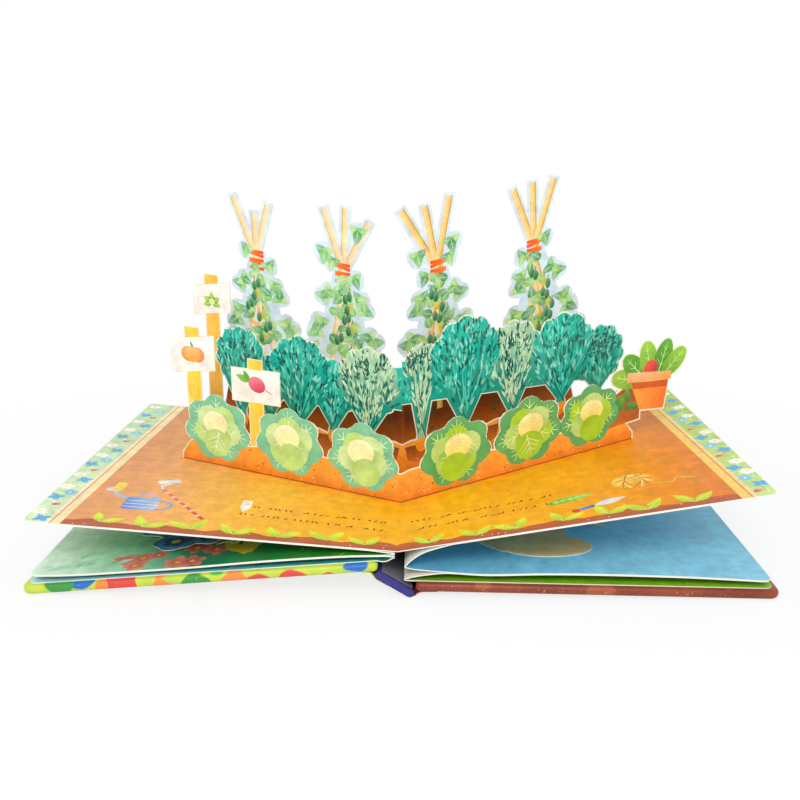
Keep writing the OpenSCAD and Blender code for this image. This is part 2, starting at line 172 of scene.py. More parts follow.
class Card:
    # a die-cut card: outlines that are cut, and painted shapes that lie over each other in order

    def __init__(self, ground):
        self.ground, self.shapes, self.inks, self.cuts = ground, [], [], 0

    def cut(self, points):
        self.shapes.append(np.asarray(points, float))
        self.inks.append(np.zeros(10))
        self.cuts += 1

    def paint(self, points, a, b=None, start=(0, 0), end=(1, 0)):
        # colour a at start, b at end, and a mix between them
        self.shapes.append(np.asarray(points, float))
        self.inks.append(np.concatenate([a, a if b is None else b, start, end]))

    def shell(self, place, lines=()):
        # triangles of the printed face with the colour of the topmost shape, a plain back and side walls
        counts = [len(s) for s in self.shapes]
        points = np.concatenate(self.shapes + [np.reshape(lines, (-1, 2))])
        starts = np.concatenate([[0], np.cumsum(counts)]).astype(int)
        faces = []
        for k, n in enumerate(counts):
            p = self.shapes[k]
            area = np.sum(p[:, 0] * np.roll(p[:, 1], -1) - p[:, 1] * np.roll(p[:, 0], -1))
            order = range(starts[k], starts[k] + n)
            faces.append(list(order if area > 0 else reversed(order)))
        edges = [(starts[-1] + 2 * k, starts[-1] + 2 * k + 1) for k in range(len(lines))]
        out = delaunay_2d_cdt([Vector(p) for p in points], edges, faces, 0, 1e-5, True)
        uv = np.array([tuple(v) for v in out[0]])
        inside = [k for k, ids in enumerate(out[5]) if ids and min(ids) < self.cuts]
        top = np.array([max(out[5][k]) for k in inside])
        tris = np.array([out[2][k] for k in inside])
        used, tris = np.unique(tris, return_inverse=True)
        uv, tris = uv[used], tris.reshape(-1, 3)
        corner = uv[tris]
        paints = np.array(self.inks)[top][:, None, :]
        span = paints[..., 8:] - paints[..., 6:8]
        t = np.sum((corner - paints[..., 6:8]) * span, -1) / np.maximum(np.sum(span * span, -1), 1e-9)
        t = np.clip(t, 0, 1)[..., None]
        colour = paints[..., :3] * (1 - t) + paints[..., 3:6] * t
        bare = top < self.cuts
        colour[bare] = self.ground(corner[bare].reshape(-1, 2)).reshape(-1, 3, 3)
        n = len(uv)
        sides = np.concatenate([tris[:, [0, 1]], tris[:, [1, 2]], tris[:, [2, 0]]])
        key = np.sort(sides, 1)
        _, first, count = np.unique(key[:, 0] * n + key[:, 1], return_index=True, return_counts=True)
        rimEdges = sides[first[count == 1]]
        backTris = tris if len(lines) else outlineTris(uv, rimEdges)
        front, back = place(uv, 0.0), place(uv, 1.0)
        a, b, c = (front[tris[:, k]] for k in range(3))
        if np.sum(np.cross(b - a, c - a) * (front - back)[tris[:, 0]]) < 0:
            tris, colour, backTris, rimEdges = tris[:, ::-1], colour[:, ::-1], backTris[:,
                    ::-1], rimEdges[:, ::-1]
        p, q = rimEdges.T
        walls = np.concatenate([np.stack([p, p + n, q + n], 1), np.stack([p, q + n, q], 1)])
        allTris = np.concatenate([tris, backTris[:, ::-1] + n, walls])
        rgba = np.ones((len(allTris), 3, 4))
        rgba[:len(tris), :, :3] = colour
        rgba[len(tris):, :, :3] = cardWhite
        rgba[len(tris):, :, 3] = 0          # the alpha tells printed card from bare card
        points, kept = np.concatenate([front, back]), np.unique(allTris)
        return points[kept], np.searchsorted(kept, allTris), rgba


cardWhite = ink(243, 240, 230)


def plainGround(colour):
    return lambda uv: np.broadcast_to(colour, (len(uv), 3))


def makePiece(name, shells, finish, body=None, nodes=(), sharp=35):
    # joins closed shells into one object; each shell is its points, triangles and corner colours
    points, tris, colours, n = [], [], [], 0
    for p, t, c in shells:
        points.append(p)
        tris.append(t + n)
        colours.append(c)
        n += len(p)
    points, tris = np.concatenate(points) / 1000, np.concatenate(tris)
    mesh = bpy.data.meshes.new(name)
    mesh.vertices.add(len(points))
    mesh.vertices.foreach_set("co", points.ravel())
    mesh.loops.add(tris.size)
    mesh.loops.foreach_set("vertex_index", tris.ravel().astype(np.int32))
    mesh.polygons.add(len(tris))
    mesh.polygons.foreach_set("loop_start", np.arange(0, tris.size, 3, dtype=np.int32))
    mesh.update(calc_edges=True)
    layer = mesh.color_attributes.new("ink", "FLOAT_COLOR", "CORNER")
    layer.data.foreach_set("color", np.concatenate(colours).ravel())
    mesh.shade_smooth()
    mesh.set_sharp_from_angle(angle=math.radians(sharp))
    return addObject(name, mesh, finish, body, nodes)


def addObject(name, mesh, finish, body, nodes):
    piece = bpy.data.objects.new(name + "_finished" if name in bpy.data.objects else name, mesh)
    mesh.materials.append(finish)
    scene.collection.objects.link(piece)
    if body:
        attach(piece, body)
    if nodes:
        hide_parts(*nodes)
    return piece


class Wire:
    # an output of a shader node that can be used in sums

    def __init__(self, finish, socket):
        self.finish, self.socket = finish, socket

    def math(self, operation, other=None, swap=False):
        values = [other, self] if swap else [self, other]
        return self.finish.add("Math", {"operation": operation}, {0: values[0], 1: values[1]})

    def __add__(self, other):
        return self.math("ADD", other)

    def __sub__(self, other):
        return self.math("SUBTRACT", other)

    def __rsub__(self, other):
        return self.math("SUBTRACT", other, True)

    def __mul__(self, other):
        return self.math("MULTIPLY", other)

    __radd__, __rmul__ = __add__, __mul__


class Finish:
    # one material; add() makes any node and gives back one of its outputs

    def __init__(self, name):
        self.material = bpy.data.materials.new(name)
        self.material.use_nodes = True
        self.material.node_tree.nodes.clear()
        self.place = self.add("TexCoord", out="Object")

    def add(self, kind, settings=None, sockets=None, out=0):
        node = self.material.node_tree.nodes.new("ShaderNode" + kind)
        for key, value in (settings or {}).items():
            if key == "stops":
                ramp = node.color_ramp
                for k, (at, colour) in enumerate(value):
                    stop = ramp.elements[k] if k < 2 else ramp.elements.new(at)
                    stop.position, stop.color = at, (*colour, 1)
            else:
                setattr(node, key, value)
        for key, value in (sockets or {}).items():
            if isinstance(value, Wire):
                self.material.node_tree.links.new(value.socket, node.inputs[key])
            elif value is not None:
                node.inputs[key].default_value = value
        return Wire(self, node.outputs[out]) if node.outputs else node

    def noise(self, scale, detail=2.0, stretch=(1, 1, 1), rough=0.5):
        place = self.add("VectorMath", {"operation": "MULTIPLY"}, {0: self.place, 1: stretch})
        return self.add("TexNoise", None, {"Vector": place, "Scale": scale, "Detail": detail,
                                           "Roughness": rough})

    def mix(self, factor, a, b, blend="MIX"):
        # colours a and b mixed by a factor
        a, b = (v if isinstance(v, Wire) else (*v, 1) for v in (a, b))
        return self.add("Mix", {"data_type": "RGBA", "blend_type": blend}, {0: factor, 6: a, 7: b}, out=2)

    def band(self, value, low, high, to=(0.0, 1.0)):
        # value carried from low..high to another range, with smooth ends
        return self.add("MapRange", {"interpolation_type": "SMOOTHSTEP"},
                        {"Value": value, "From Min": low, "From Max": high, "To Min": to[0],
                         "To Max": to[1]})

    def surface(self, colour, rough, height=None, depth=0.0001, **extra):
        sockets = {"Base Color": colour, "Roughness": rough}
        if height is not None:
            sockets["Normal"] = self.add("Bump", None,
                                         {"Height": height, "Strength": 1.0, "Distance": depth})
        for key, value in extra.items():
            sockets[key.replace("_", " ")] = value
        shader = self.add("BsdfPrincipled", None, sockets)
        self.add("OutputMaterial", None, {"Surface": shader})
        return self.material


def printedCard(name, mottle=0.09, streak=0.08, stretch=(1, 1, 1), rough=0.5):
    # painted print on card: cloudy brush tone, fine dry-brush streaks, satin on ink and matt on bare card
    f = Finish(name)
    tone = f.add("Attribute", {"attribute_name": "ink"}, out="Color")
    printed = f.add("Attribute", {"attribute_name": "ink"}, out="Alpha")
    cloud = f.noise(150, 4, stretch, 0.6)
    dry = f.noise(420, 3, tuple(v * (0.25 if v == 1 else 1) for v in stretch), 0.65)
    fibre = f.noise(2600, 2)
    shade = f.band(cloud, 0.25, 0.75, (1 - mottle, 1 + mottle)) * f.band(dry, 0.3, 0.7,
            (1 - streak, 1 + streak))
    painted = f.add("VectorMath", {"operation": "SCALE"}, {0: tone, "Scale": shade})
    warm = f.mix(f.band(f.noise(40, 2), 0.35, 0.65, (0.0, 0.03)), painted, (0.95, 0.78, 0.35))
    core = f.mix(f.band(fibre, 0.3, 0.7, (0.0, 0.25)), tone, (0.72, 0.68, 0.6))
    colour = f.mix(printed, core, warm)
    gloss = 0.85 - printed * (0.85 - rough) + f.band(cloud, 0.2, 0.8, (-0.07, 0.07))
    return f.surface(colour, gloss, fibre, 0.00004, Specular_IOR_Level=0.22)


pageCard = printedCard("painted_page_card", 0.1, 0.09, (1, 0.35, 1))
rowCard = printedCard("painted_row_card")

# The book's section across its spine: X to the right, Z up, in millimetres
book = dict(frontTilt=4.4, backTilt=1.0, leftTilt=4.68, rightTilt=9.57, gutter=26.4,
            pageHigh=262, coverHigh=268, board=5.2, sheet=0.57)
frontEdge = -209.5 + book["board"] * math.sin(math.radians(book["frontTilt"]))
backEdge = 209.5 - book["board"] * math.sin(math.radians(book["backTilt"]))
frontLong = (-10.8 - frontEdge) / math.cos(math.radians(book["frontTilt"]))
backLong = (backEdge - 9.9) / math.cos(math.radians(book["backTilt"]))
half = book["pageHigh"] / 2


def inSection(x0, z0, slope, side, along, up):
    # along a surface that rises by slope from x0, z0 towards side, and up from it
    c, s = math.cos(math.radians(slope)), math.sin(math.radians(slope))
    along, up = np.broadcast_arrays(np.asarray(along, float), np.asarray(up, float))
    return np.stack([x0 + side * (along * c - up * s), z0 + along * s + up * c], -1)


def onFront(x, z):
    return inSection(frontEdge, 0, book["frontTilt"], 1, x, z)


def onBack(x, z):
    return inSection(backEdge, 0, book["backTilt"], -1, x, z)


def onLeft(s, deep):
    return inSection(0, book["gutter"], book["leftTilt"], -1, s, -np.asarray(deep, float))


def onRight(s, deep):
    return inSection(0, book["gutter"], book["rightTilt"], 1, s, -np.asarray(deep, float))


leafA = np.array([[-205, 11.2], [-184, 11.6], [-162, 12.9], [-115, 16.6], [-75, 20.4], [-34, 23.4],
                  [-12, 24.1]])
leafD = np.array([[28, 14.4], [50, 13.2], [82, 13.9], [119, 13.6], [162, 12.4], [205, 10.2]])


def foldArc(x, z, side):
    # half turn of a sheet, 0.36 mm round, with its tip towards side; counter-clockwise
    a = np.radians(np.linspace(0, 180, 7))
    return np.stack([x + side * 0.36 * np.sin(a), z - side * 0.36 * np.cos(a)], -1)


def down(path, d):
    return path - [0, d]


sheetPaths = dict(
    spread=np.concatenate([[onLeft(206.5, 0.3)], [onLeft(1.5, 0.3)], [[0, 26.08]], [onRight(1.5, 0.3)],
                           [onRight(206.5, 0.3)]]),
    two=np.concatenate([
        smoothPath(np.concatenate([down(leafA, 0.3), [[-8, 23.93], [-3.6, 24.27]]])),
                        foldArc(-2.3, 24.7, 1),
        smoothPath(np.stack([[-3.4, 25.2], [-8, 25.75], onLeft(16, 0.9)])), [onLeft(206.5, 0.9)]]),
    one=np.concatenate([
        foldArc(-2.3, 22.7, 1),
        smoothPath(np.concatenate([[[-3.6, 23.1], [-8, 23.3]], down(leafA[::-1], 0.9)]))]),
    four=np.concatenate([
        [onRight(206.5, 0.9)],
                         smoothPath(np.stack([onRight(30, 0.9), [18, 27], [12, 24.3], [7, 20.6],
                                              [4.75, 18.1]])),
        foldArc(4.3, 17.1, -1),
        smoothPath(np.concatenate([[[4.8, 16.65], [8, 15.9], [15, 15.1]], down(leafD, 0.3)]))]),
    five=np.concatenate([
        smoothPath(np.concatenate([down(leafD[::-1], 0.9), [[18, 12.75], [9, 11.35], [5, 10.2]]])),
        foldArc(4.1, 9.7, -1)]),
    frontEnd=np.concatenate([
        [onFront(3.2, 5.55)], [onFront(100, 5.55)],
        smoothPath(np.stack([onFront(194, 5.55), onFront(198.4, 5.55), [-9.5, 20.35], [-7, 20.3],
                             [-4.9, 21.0], [-3.4, 21.9],
                             [-2.35, 22.34]]))]),
    backEnd=np.concatenate([
        smoothPath(np.stack([[4.15, 9.34], [5.5, 9.12], [7.6, 9.0], [9.2, 8.95], onBack(199, 5.55),
                             onBack(194, 5.55)])),
        [onBack(100, 5.55)], [onBack(3.2, 5.55)]]))


def alongPath(path, thick, zero=0.0):
    # a sheet carried along the book's height: u runs along its path, v is Y;
    # the printed face is on the left
    d = np.linalg.norm(np.diff(path, axis=0), axis=1)
    run = np.concatenate([[0], np.cumsum(d)])
    side = leftOf(np.gradient(path, run, axis=0))
    side /= np.linalg.norm(side, axis=1)[:, None]

    def place(uv, depth):
        u = uv[:, 0] + zero
        x, z = (np.interp(u, run, path[:, k]) + np.interp(u, run, side[:, k]) * thick * (0.5 - depth)
                for k in (0, 1))
        return np.stack([x, uv[:, 1], z], 1)
    return place, run - zero


def linesAt(values, half):
    # straight lines across a sheet, from edge to edge, at these distances along it
    return [[[u, -half], [u, half]] for u in values]


def pathLines(run, half):
    # lines across a sheet where its path bends, so that its triangles follow the bend
    return linesAt(run[1:-1], half)


def flower(card, c, r, n, colour, heart, turn=0.0):
    for k in range(n):
        a = turn + 360 * k / n
        card.paint(ovalShape(c, a, r, r * 0.72, 7), colour, tint(colour, 0.25), c,
                   np.array(c) + heading(a) * r)
    card.paint(discShape(c, r * 0.22, 6), heart)


def leafPair(card, c, a, size, colour, dark):
    for side in (1, -1):
        card.paint(leafShape(c, a + side * 42, size, size * 0.4, 5, bend=side * -1.2), dark, colour, c,
                   np.array(c) + heading(a) * size * 0.6)
        card.paint(strokeShape([c, np.array(c) + heading(a + side * 36) * size * 0.8], 0.35, 0.1),
                   tint(colour, 0.45))


spreadLook = dict(
    soilAt=[-190, -140, -90, -30, 30, 110, 160, 195],
    soil=[(224, 150, 98), (236, 168, 96), (248, 184, 58), (248, 176, 24), (250, 178, 6), (246, 166, 6),
          (238, 142, 18), (224, 124, 40)],
    mint=ink(204, 232, 178), mintRight=ink(186, 220, 104), band=ink(186, 92, 54), lime=ink(218, 230, 44),
    limeDark=ink(176, 208, 52), blue=ink(0, 160, 220), paleBlue=ink(96, 196, 232), red=ink(230, 60, 66),
    white=ink(250, 248, 238), yellow=ink(250, 208, 50), seed=ink(110, 62, 22), rail=ink(250, 226, 174),
                  railLine=ink(216, 146, 92))


def paintSpread(look):
    stops = np.array([ink(*c) for c in look["soil"]])

    def soilGround(uv):
        u = uv[:, 0] + 4 * np.sin(uv[:, 1] / 23)
        colour = np.stack([np.interp(u, look["soilAt"], stops[:, k]) for k in range(3)], 1)
        # painted shade: the soil darkens by up to a tenth from between the front and middle rows to the far
        # edge
        depth = np.clip((uv[:, 1] + 20) / 150, 0, 1)[:, None]
        return colour * (1 - 0.1 * depth)

    card = Card(soilGround)
    card.cut(boxShape(-206.5, -131, 206.5, 131, 5))
    for side in (-1, 1):
        near, far = (194.3, 186) if side < 0 else (196, 187)
        mint = look["mint"] if side < 0 else look["mintRight"]
        card.paint([[side * near, -131], [side * 207, -131], [side * 207, 131], [side * far, 131]],
                   tint(mint, 0.12), tint(mint, -0.08), (side * 207, -131), (side * 196, 60))
        rail = look["rail"] if side < 0 else ink(248, 206, 110)
        line = look["railLine"] if side < 0 else ink(226, 140, 44)
        for a, b, colour in ((0, 2.4, tint(rail, 0.2)), (2.4, 3.3, line), (3.3, 8.4, rail),
                             (8.4, 9.0, line)):
            card.paint([[side * (near - a), -131], [side * (near - b), -131], [side * (far - b), 131],
                        [side * (far - a), 131]], colour)
        # short brush marks along the mint margin, then small flowers over them
        for k in range(190):
            v = rng.uniform(-129, 129)
            inner, widen = rng.uniform(0, 1), (v + 131) / 262 * (far - near)
            u = side * (near + 1 + inner * (204 - near) + widen * rng.uniform(0, 1))
            p = np.array([u, v])
            a = 90 + side * rng.uniform(-30, 10)
            card.paint(strokeShape([p, p + heading(a) * rng.uniform(2, 4.5)], 0.7, 0.2),
                       tint(mint, rng.choice([0.35, -0.22, 0.5])))
        for k in range(24):
            v = -124 + 10.6 * k + rng.uniform(-2, 2)
            wide = (206.5 - near) + (v + 131) / 262 * (near - far)
            u = side * (206.5 - wide * (0.30 if k % 2 else 0.70))
            kind = (0, 1, 2, 0, 3, 1)[(k + (2 if side > 0 else 0)) % 6]
            if kind == 0:
                flower(card, (u, v), 5.6, 4, look["blue"], look["paleBlue"], rng.uniform(0, 90))
            elif kind == 1:
                flower(card, (u, v), 4.6, 8, look["white"], look["yellow"], rng.uniform(0, 40))
            elif kind == 2:
                card.paint(ovalShape((u - 3, v), 20, 5.6, 4.2, 10), look["red"], tint(look["red"], 0.3),
                           (u - 2, v), (u + 2, v))
            else:
                flower(card, (u, v), 5.0, 5, look["paleBlue"], look["white"], rng.uniform(0, 90))
            card.paint(discShape((u + side * 3.4, v + 5.2), 0.9, 6), look["white" if k % 3 else "red"])
        # red-brown wavy band at the near edge with young leaves over it
        u = np.linspace(0, near - 8.9, 70)
        wave = -122.4 + 1.7 * np.sin(u / 6.4) + 0.9 * np.sin(u / 2.9 + side)
        band = np.concatenate([np.stack([u, wave], 1), [[near - 8.9, -131.5], [0, -131.5]]]) * [side, 1]
        card.paint(band, look["band"], tint(look["band"], -0.12), (0, -124), (0, -131))
        for k in range(7):
            c = (side * (17 + 24.5 * k + rng.uniform(-3, 3)), -126 + rng.uniform(0, 3))
            leafPair(card, c, 90 + rng.uniform(-24, 24), 15 + rng.uniform(-1, 3), look["lime"],
                     look["limeDark"])
        for k in range(46):
            c = (side * rng.uniform(4, near - 14),
                 rng.uniform(-129, -118) if k % 3 else rng.uniform(-112, -60))
            card.paint(discShape(c, rng.uniform(0.3, 0.6), 5),
                       look["seed"] if k % 2 else tint(look["rail"], 0.2))
        # two sown rows of seeds, drawn as short tilted grains
        for row in range(2):
            for k in range(26):
                p = np.array([side * (8 + 3.3 * k + row * 3), -92 - 12.5 * row + 0.10 * (8 + 3.3 * k)])
                if k % 6 != 4:
                    card.paint(ovalShape(p, 70 + rng.uniform(-50, 50), 3.4, 1.2, 7), look["seed"])
        # soft lighter and darker sweeps of the brush over the soil
        for k in range(60):
            p = np.array([side * rng.uniform(10, 172), rng.uniform(-116, 118)])
            curve = [p, p + [side * rng.uniform(5, 9), rng.uniform(-1, 2)],
                     p + [side * rng.uniform(11, 17), rng.uniform(-2, 3)]]
            card.paint(strokeShape(smoothPath(curve, 3), 0.35, 0.1),
                       tint(soilGround(p[None])[0], rng.choice([0.10, -0.10, 0.16])))
    paintTools(card, look)
    lattice = linesAt(np.linspace(-198, 198, 34), half) + linesAt([0], half)
    lattice += [[[-206, v], [206, v]] for v in np.linspace(-120, 120, 13)]
    return card, lattice


def paintTools(card, look):
    # left page: a watering can, a hoe and two plant labels;
    # right page: a twine ball, peas and a bulb planter
    steel, blue = ink(232, 240, 242), ink(70, 130, 200)
    can = np.array([-152, -92])
    card.paint(strokeShape([can + [-4, 6], can + [-17, 12], can + [-22, 21]], 4.4, 2.6), tint(blue, 0.35))
    card.paint(lobedShape(can + [-23, 22], 4.2, 2, 0.4, 40), tint(blue, 0.55))
    card.paint(boxShape(*(can + [-10, -9]), *(can + [10, 11]), 3), blue, tint(blue, 0.45), can + [-10, 0],
               can + [10, 4])
    card.paint(strokeShape(smoothPath([can + [9, 7], can + [17, 4], can + [16, -5], can + [9, -7]], 5),
                           2.2), tint(blue, 0.2))
    card.paint(strokeShape(smoothPath([can + [-7, 11], can + [0, 18], can + [7, 11]], 5), 1.8),
               tint(blue, 0.3))
    for k in (-5, 0, 5):
        card.paint(boxShape(can[0] - 9.5, can[1] + k - 0.5, can[0] + 9.5, can[1] + k + 0.5),
                   tint(blue, 0.65))
    hoe = np.array([-112, -108.0])
    card.paint(strokeShape([hoe, hoe + [-34, 44]], 2.6, 2.2), ink(212, 56, 50), ink(236, 120, 104), hoe,
               hoe + [-34, 44])
    for k in range(6):
        card.paint(strokeShape([hoe + np.array([-34, 44]) * (0.1 + 0.15 * k),
                                hoe + np.array([-34, 44]) * (0.15 + 0.15 * k)], 2.6),
                   ink(246, 200, 180))
    card.paint(strokeShape([hoe + [-34, 44], hoe + [-36, 49], hoe + [-31, 55]], 1.6), steel)
    card.paint([hoe + [-38, 52], hoe + [-26, 59], hoe + [-28, 64], hoe + [-41, 58]], steel,
               tint(steel, -0.2), hoe + [-38, 52], hoe + [-30, 64])
    for c, tone in (((-172, -70), ink(250, 222, 90)), ((-92, -84), ink(250, 246, 236))):
        c = np.array(c, float)
        card.paint([c + [-3, 12], c + [-3, 0], c + [0, -7], c + [3, 0], c + [3, 12]], tone,
                   tint(tone, -0.1), c + [0, 12], c + [0, -6])
        card.paint(strokeShape([c + [-1.6, 8.5], c + [1.6, 8.5]], 0.7), look["limeDark"])
        card.paint(strokeShape([c + [-1.6, 5.5], c + [1.6, 5.5]], 0.7), look["red"])
    ball = np.array([140, -78.0])
    card.paint(discShape(ball, 12.5, 22, 0.92), ink(238, 150, 30), ink(252, 214, 96), ball + [9, -9],
               ball + [-7, 9])
    for k in range(9):
        a = 25 * k - 100
        card.paint(strokeShape(smoothPath([ball + heading(a) * 11.6, ball + heading(a + 95) * 5,
                                           ball + heading(a + 178) * 11.4], 4), 0.8),
                   ink(*((206, 110, 18), (255, 232, 140))[k % 2]))
    card.paint(strokeShape(smoothPath([ball + [10, -8], ball + [20, -11], ball + [25, -5],
                                       ball + [34, -9]], 5), 1.1), ink(246, 190, 70))
    pod = np.array([86, -96.0])
    card.paint(leafShape(pod, 14, 30, 9, 8), ink(96, 170, 50), ink(176, 214, 86), pod, pod + [30, 8])
    for k in range(5):
        c = pod + heading(14) * (6.5 + 4.4 * k)
        card.paint(discShape(c, 2.1, 9), ink(206, 232, 120), ink(150, 200, 70), c + [-1, 1.5], c + [1, -2])
    planter = np.array([112, -108.0])
    card.paint(leafShape(planter, 20, 21, 7, 6), steel, tint(steel, -0.18), planter, planter + [20, 6])
    card.paint(strokeShape([planter, planter - heading(20) * 11], 3.2, 3.8), ink(48, 92, 176),
               ink(98, 150, 216), planter, planter - [10, 4])
    card.paint(discShape(planter - heading(20) * 11.6, 2.6, 9), ink(214, 60, 52))


def makeSheet(name, path, card, lines, body="block", nodes=("pages",), zero=0.0):
    place, run = alongPath(path, book["sheet"], zero)
    return makePiece(name, [card.shell(place, lines + pathLines(run, half))], pageCard, body, nodes)


spread, lattice = paintSpread(spreadLook)
makeSheet("open_spread", sheetPaths["spread"], spread, lattice, zero=206.47)
print("open spread made")


def sheetCard(name, corners=(True, True)):
    # a plain sheet of its path's length with its rounded fore-edge corners
    run = alongPath(sheetPaths[name], book["sheet"])[1]
    card = Card(gradientGround(*sheetGrounds[name]))
    shape = boxShape(0, -half, run[-1], half, 5)
    square = (shape[:, 0] > run[-1] / 2) & (not corners[1]) | (shape[:, 0] < run[-1] / 2) & (not corners[0])
    shape[square, 0] = np.where(shape[square, 0] > run[-1] / 2, run[-1], 0)
    shape[square, 1] = np.sign(shape[square, 1]) * half
    keep = np.concatenate([[True], np.linalg.norm(np.diff(shape, axis=0), axis=1) > 1e-6])
    card.cut(shape[keep])
    return card, run[-1]


def gradientGround(at, colours):
    stops = np.array([ink(*c) for c in colours])
    return lambda uv: np.stack([np.interp(uv[:, 0] + 0.12 * uv[:, 1], at, stops[:, k]) for k in range(3)],
                               1)


# Colours along each plain sheet: distances in millimetres and the print's tone there, on sheet four with
# painted shade near its fold
sheetGrounds = dict(
    two=([0, 40, 75, 120, 200],
         [(224, 246, 226), (160, 226, 190), (10, 132, 100), (24, 140, 60), (70, 166, 24)]),
    one=([0, 100, 200],
         [(60, 170, 170), (40, 150, 150), (90, 190, 180)]),
    # painted shade: the blue is darkest at the fold (205 mm) and lighter out towards leaf D's fore-edge
    four=([0, 205, 260, 340, 420],
          [(100, 180, 214), (100, 180, 210), (130, 204, 226), (150, 216, 234), (136, 208, 230)]),
    five=([0, 100, 200],
          [(120, 190, 60), (90, 170, 40), (110, 180, 50)]),
    frontEnd=([0, 60, 140, 200],
              [(176, 226, 232), (120, 206, 214), (60, 176, 170), (40, 150, 130)]),
    backEnd=([0, 60, 140, 205],
             [(120, 182, 20), (134, 194, 20), (146, 204, 26), (136, 196, 24)]))


# Sheet two: flower bed on the upper left leaf, its other half under the open left page
two, long = sheetCard("two")
for k in range(38):
    c = np.array([rng.uniform(44, 104), rng.uniform(-126, 100)])
    flower(two, c, rng.uniform(6, 9), 5, ink(*((222, 48, 36), (236, 84, 60))[k % 2]), ink(250, 200, 70),
           rng.uniform(0, 70))
for k in range(26):
    c = np.array([rng.uniform(8, 60), rng.uniform(-128, 120)])
    two.paint(leafShape(c, rng.uniform(20, 70), rng.uniform(12, 22), 5), ink(150, 220, 186),
              ink(220, 244, 226), c, c + [14, 10])
for k in range(12):
    c = np.array([rng.uniform(104, 124), rng.uniform(-130, -60)])
    two.paint(leafShape(c, rng.uniform(40, 120), 20, 8), ink(250, 190, 30), ink(252, 226, 90), c,
              c + [0, 18])
for k in range(60):
    c = np.array([rng.uniform(120, 200), rng.uniform(-130, 120)])
    two.paint(strokeShape([c, c + heading(rng.uniform(50, 120)) * 6], 1.0, 0.2),
              ink(*((160, 210, 60), (24, 110, 30))[k % 2]))
crossLines = linesAt(np.linspace(12, long - 12, 30), half)
makeSheet("sheet_two", sheetPaths["two"], two, crossLines)

one, long = sheetCard("one", (False, True))
makeSheet("sheet_one_turned_half", sheetPaths["one"], one, [])

four, long = sheetCard("four")
for k in range(44):
    c = np.array([rng.uniform(230, 408), rng.uniform(-126, 100)])
    curve = smoothPath([c, c + [5, 1.6], c + [10, -1.0], c + [16, 1.0]], 3)
    four.paint(strokeShape(curve, 0.7, 0.2), ink(176, 220, 236), ink(140, 204, 228), c, c + [16, 0])
crossLines = linesAt(np.linspace(210, long - 10, 20), half)
makeSheet("sheet_four", sheetPaths["four"], four, crossLines)

five, long = sheetCard("five", (True, False))
makeSheet("sheet_five_turned_half", sheetPaths["five"], five, [])

# End papers: glued to the covers, and bending over to their folds in the text block
end, long = sheetCard("frontEnd", (True, False))
for k in range(90):
    c = np.array([rng.uniform(4, 190), rng.uniform(-130, 120)])
    end.paint(leafShape(c, rng.uniform(10, 50), rng.uniform(10, 20), 2.2, 4),
              ink(*((0, 128, 116), (214, 240, 240))[k % 2]), ink(90, 196, 190), c, c + [16, 8])
piece = makeSheet("front_end_paper", sheetPaths["frontEnd"], end, linesAt(range(15, 190, 25), half),
                  None, ("front_pastedown", "pages"))
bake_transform(piece)

end, long = sheetCard("backEnd", (False, True))
for k in range(60):
    c = np.array([rng.uniform(16, 196), rng.uniform(-130, 120)])
    end.paint(strokeShape([c, c + heading(rng.uniform(60, 120)) * 5], 0.9, 0.2),
              ink(*((104, 166, 16), (190, 226, 80))[k % 2]))
piece = makeSheet("back_end_paper", sheetPaths["backEnd"], end, linesAt(range(20, 195, 25), half),
                  None, ("back_pastedown", "pages"))
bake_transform(piece)
print("sheets made")

# Standing rows: each wing leaves the gutter at 20 degrees; points are s along it and h above the page
wingTurn, cardThick, pageLine = math.radians(20), 0.6, 26.45
tilts = {-1: math.radians(book["leftTilt"]), 1: math.radians(book["rightTilt"])}


def onWing(y, side):
    c, s, rise = math.cos(wingTurn), math.sin(wingTurn), math.tan(tilts[side])

    def place(uv, depth):
        d = depth * cardThick
        x = uv[:, 0] * c - d * s
        x = np.where(uv[:, 0] > -0.01, np.maximum(x, 0), x)      # the two wings meet at the centre fold
        return np.stack([side * x, y + uv[:, 0] * s + d * c, pageLine + uv[:, 0] * c * rise + uv[:, 1]], 1)
    return place


def onTab(y, side):
    # the glued tab behind a wing, flat on the sloping page
    c, s, a = math.cos(wingTurn), math.sin(wingTurn), tilts[side]

    def place(uv, depth):
        px, z = (uv[:, 0] * c - uv[:, 1] * s) / math.cos(a), cardThick * (1 - depth)
        return np.stack([side * (px * math.cos(a) - z * math.sin(a)), y + uv[:, 0] * s + uv[:, 1] * c,
                         pageLine + px * math.sin(a) + z * math.cos(a)], 1)
    return place


def soilShape(s1, h, waves, rise, inset=0.0):
    # wavy top h + rise sin(waves 360 k) that falls to 5 over the last tail of its length
    k, tail = np.arange(24, -1, -1) / 24, 14
    fall = (h - 5) * np.maximum(0, (k - 1) * s1 / tail + 1) ** 2
    top = np.stack([k * s1, h + rise * np.sin(2 * np.pi * waves * k) - fall], 1)
    top[:, 0] = np.clip(top[:, 0], 0, s1 - inset)
    return np.concatenate([[[0, 0], [s1 - inset, 0]], top - [0, inset]])


def makeRow(node, y, cards, tabs, tabInk):
    shells = [cards[side].shell(onWing(y, side)) for side in (-1, 1)]
    for side in (-1, 1):
        s0, s1 = tabs[side]
        tab = Card(plainGround(tabInk))
        tab.cut([[s0, 0.1], [s1, 0.1], [s1 - 4, 8], [s0 + 4, 8]])
        shells.append(tab.shell(onTab(y, side)))
    return makePiece(node + "_card", shells, rowCard, "block", (node,))


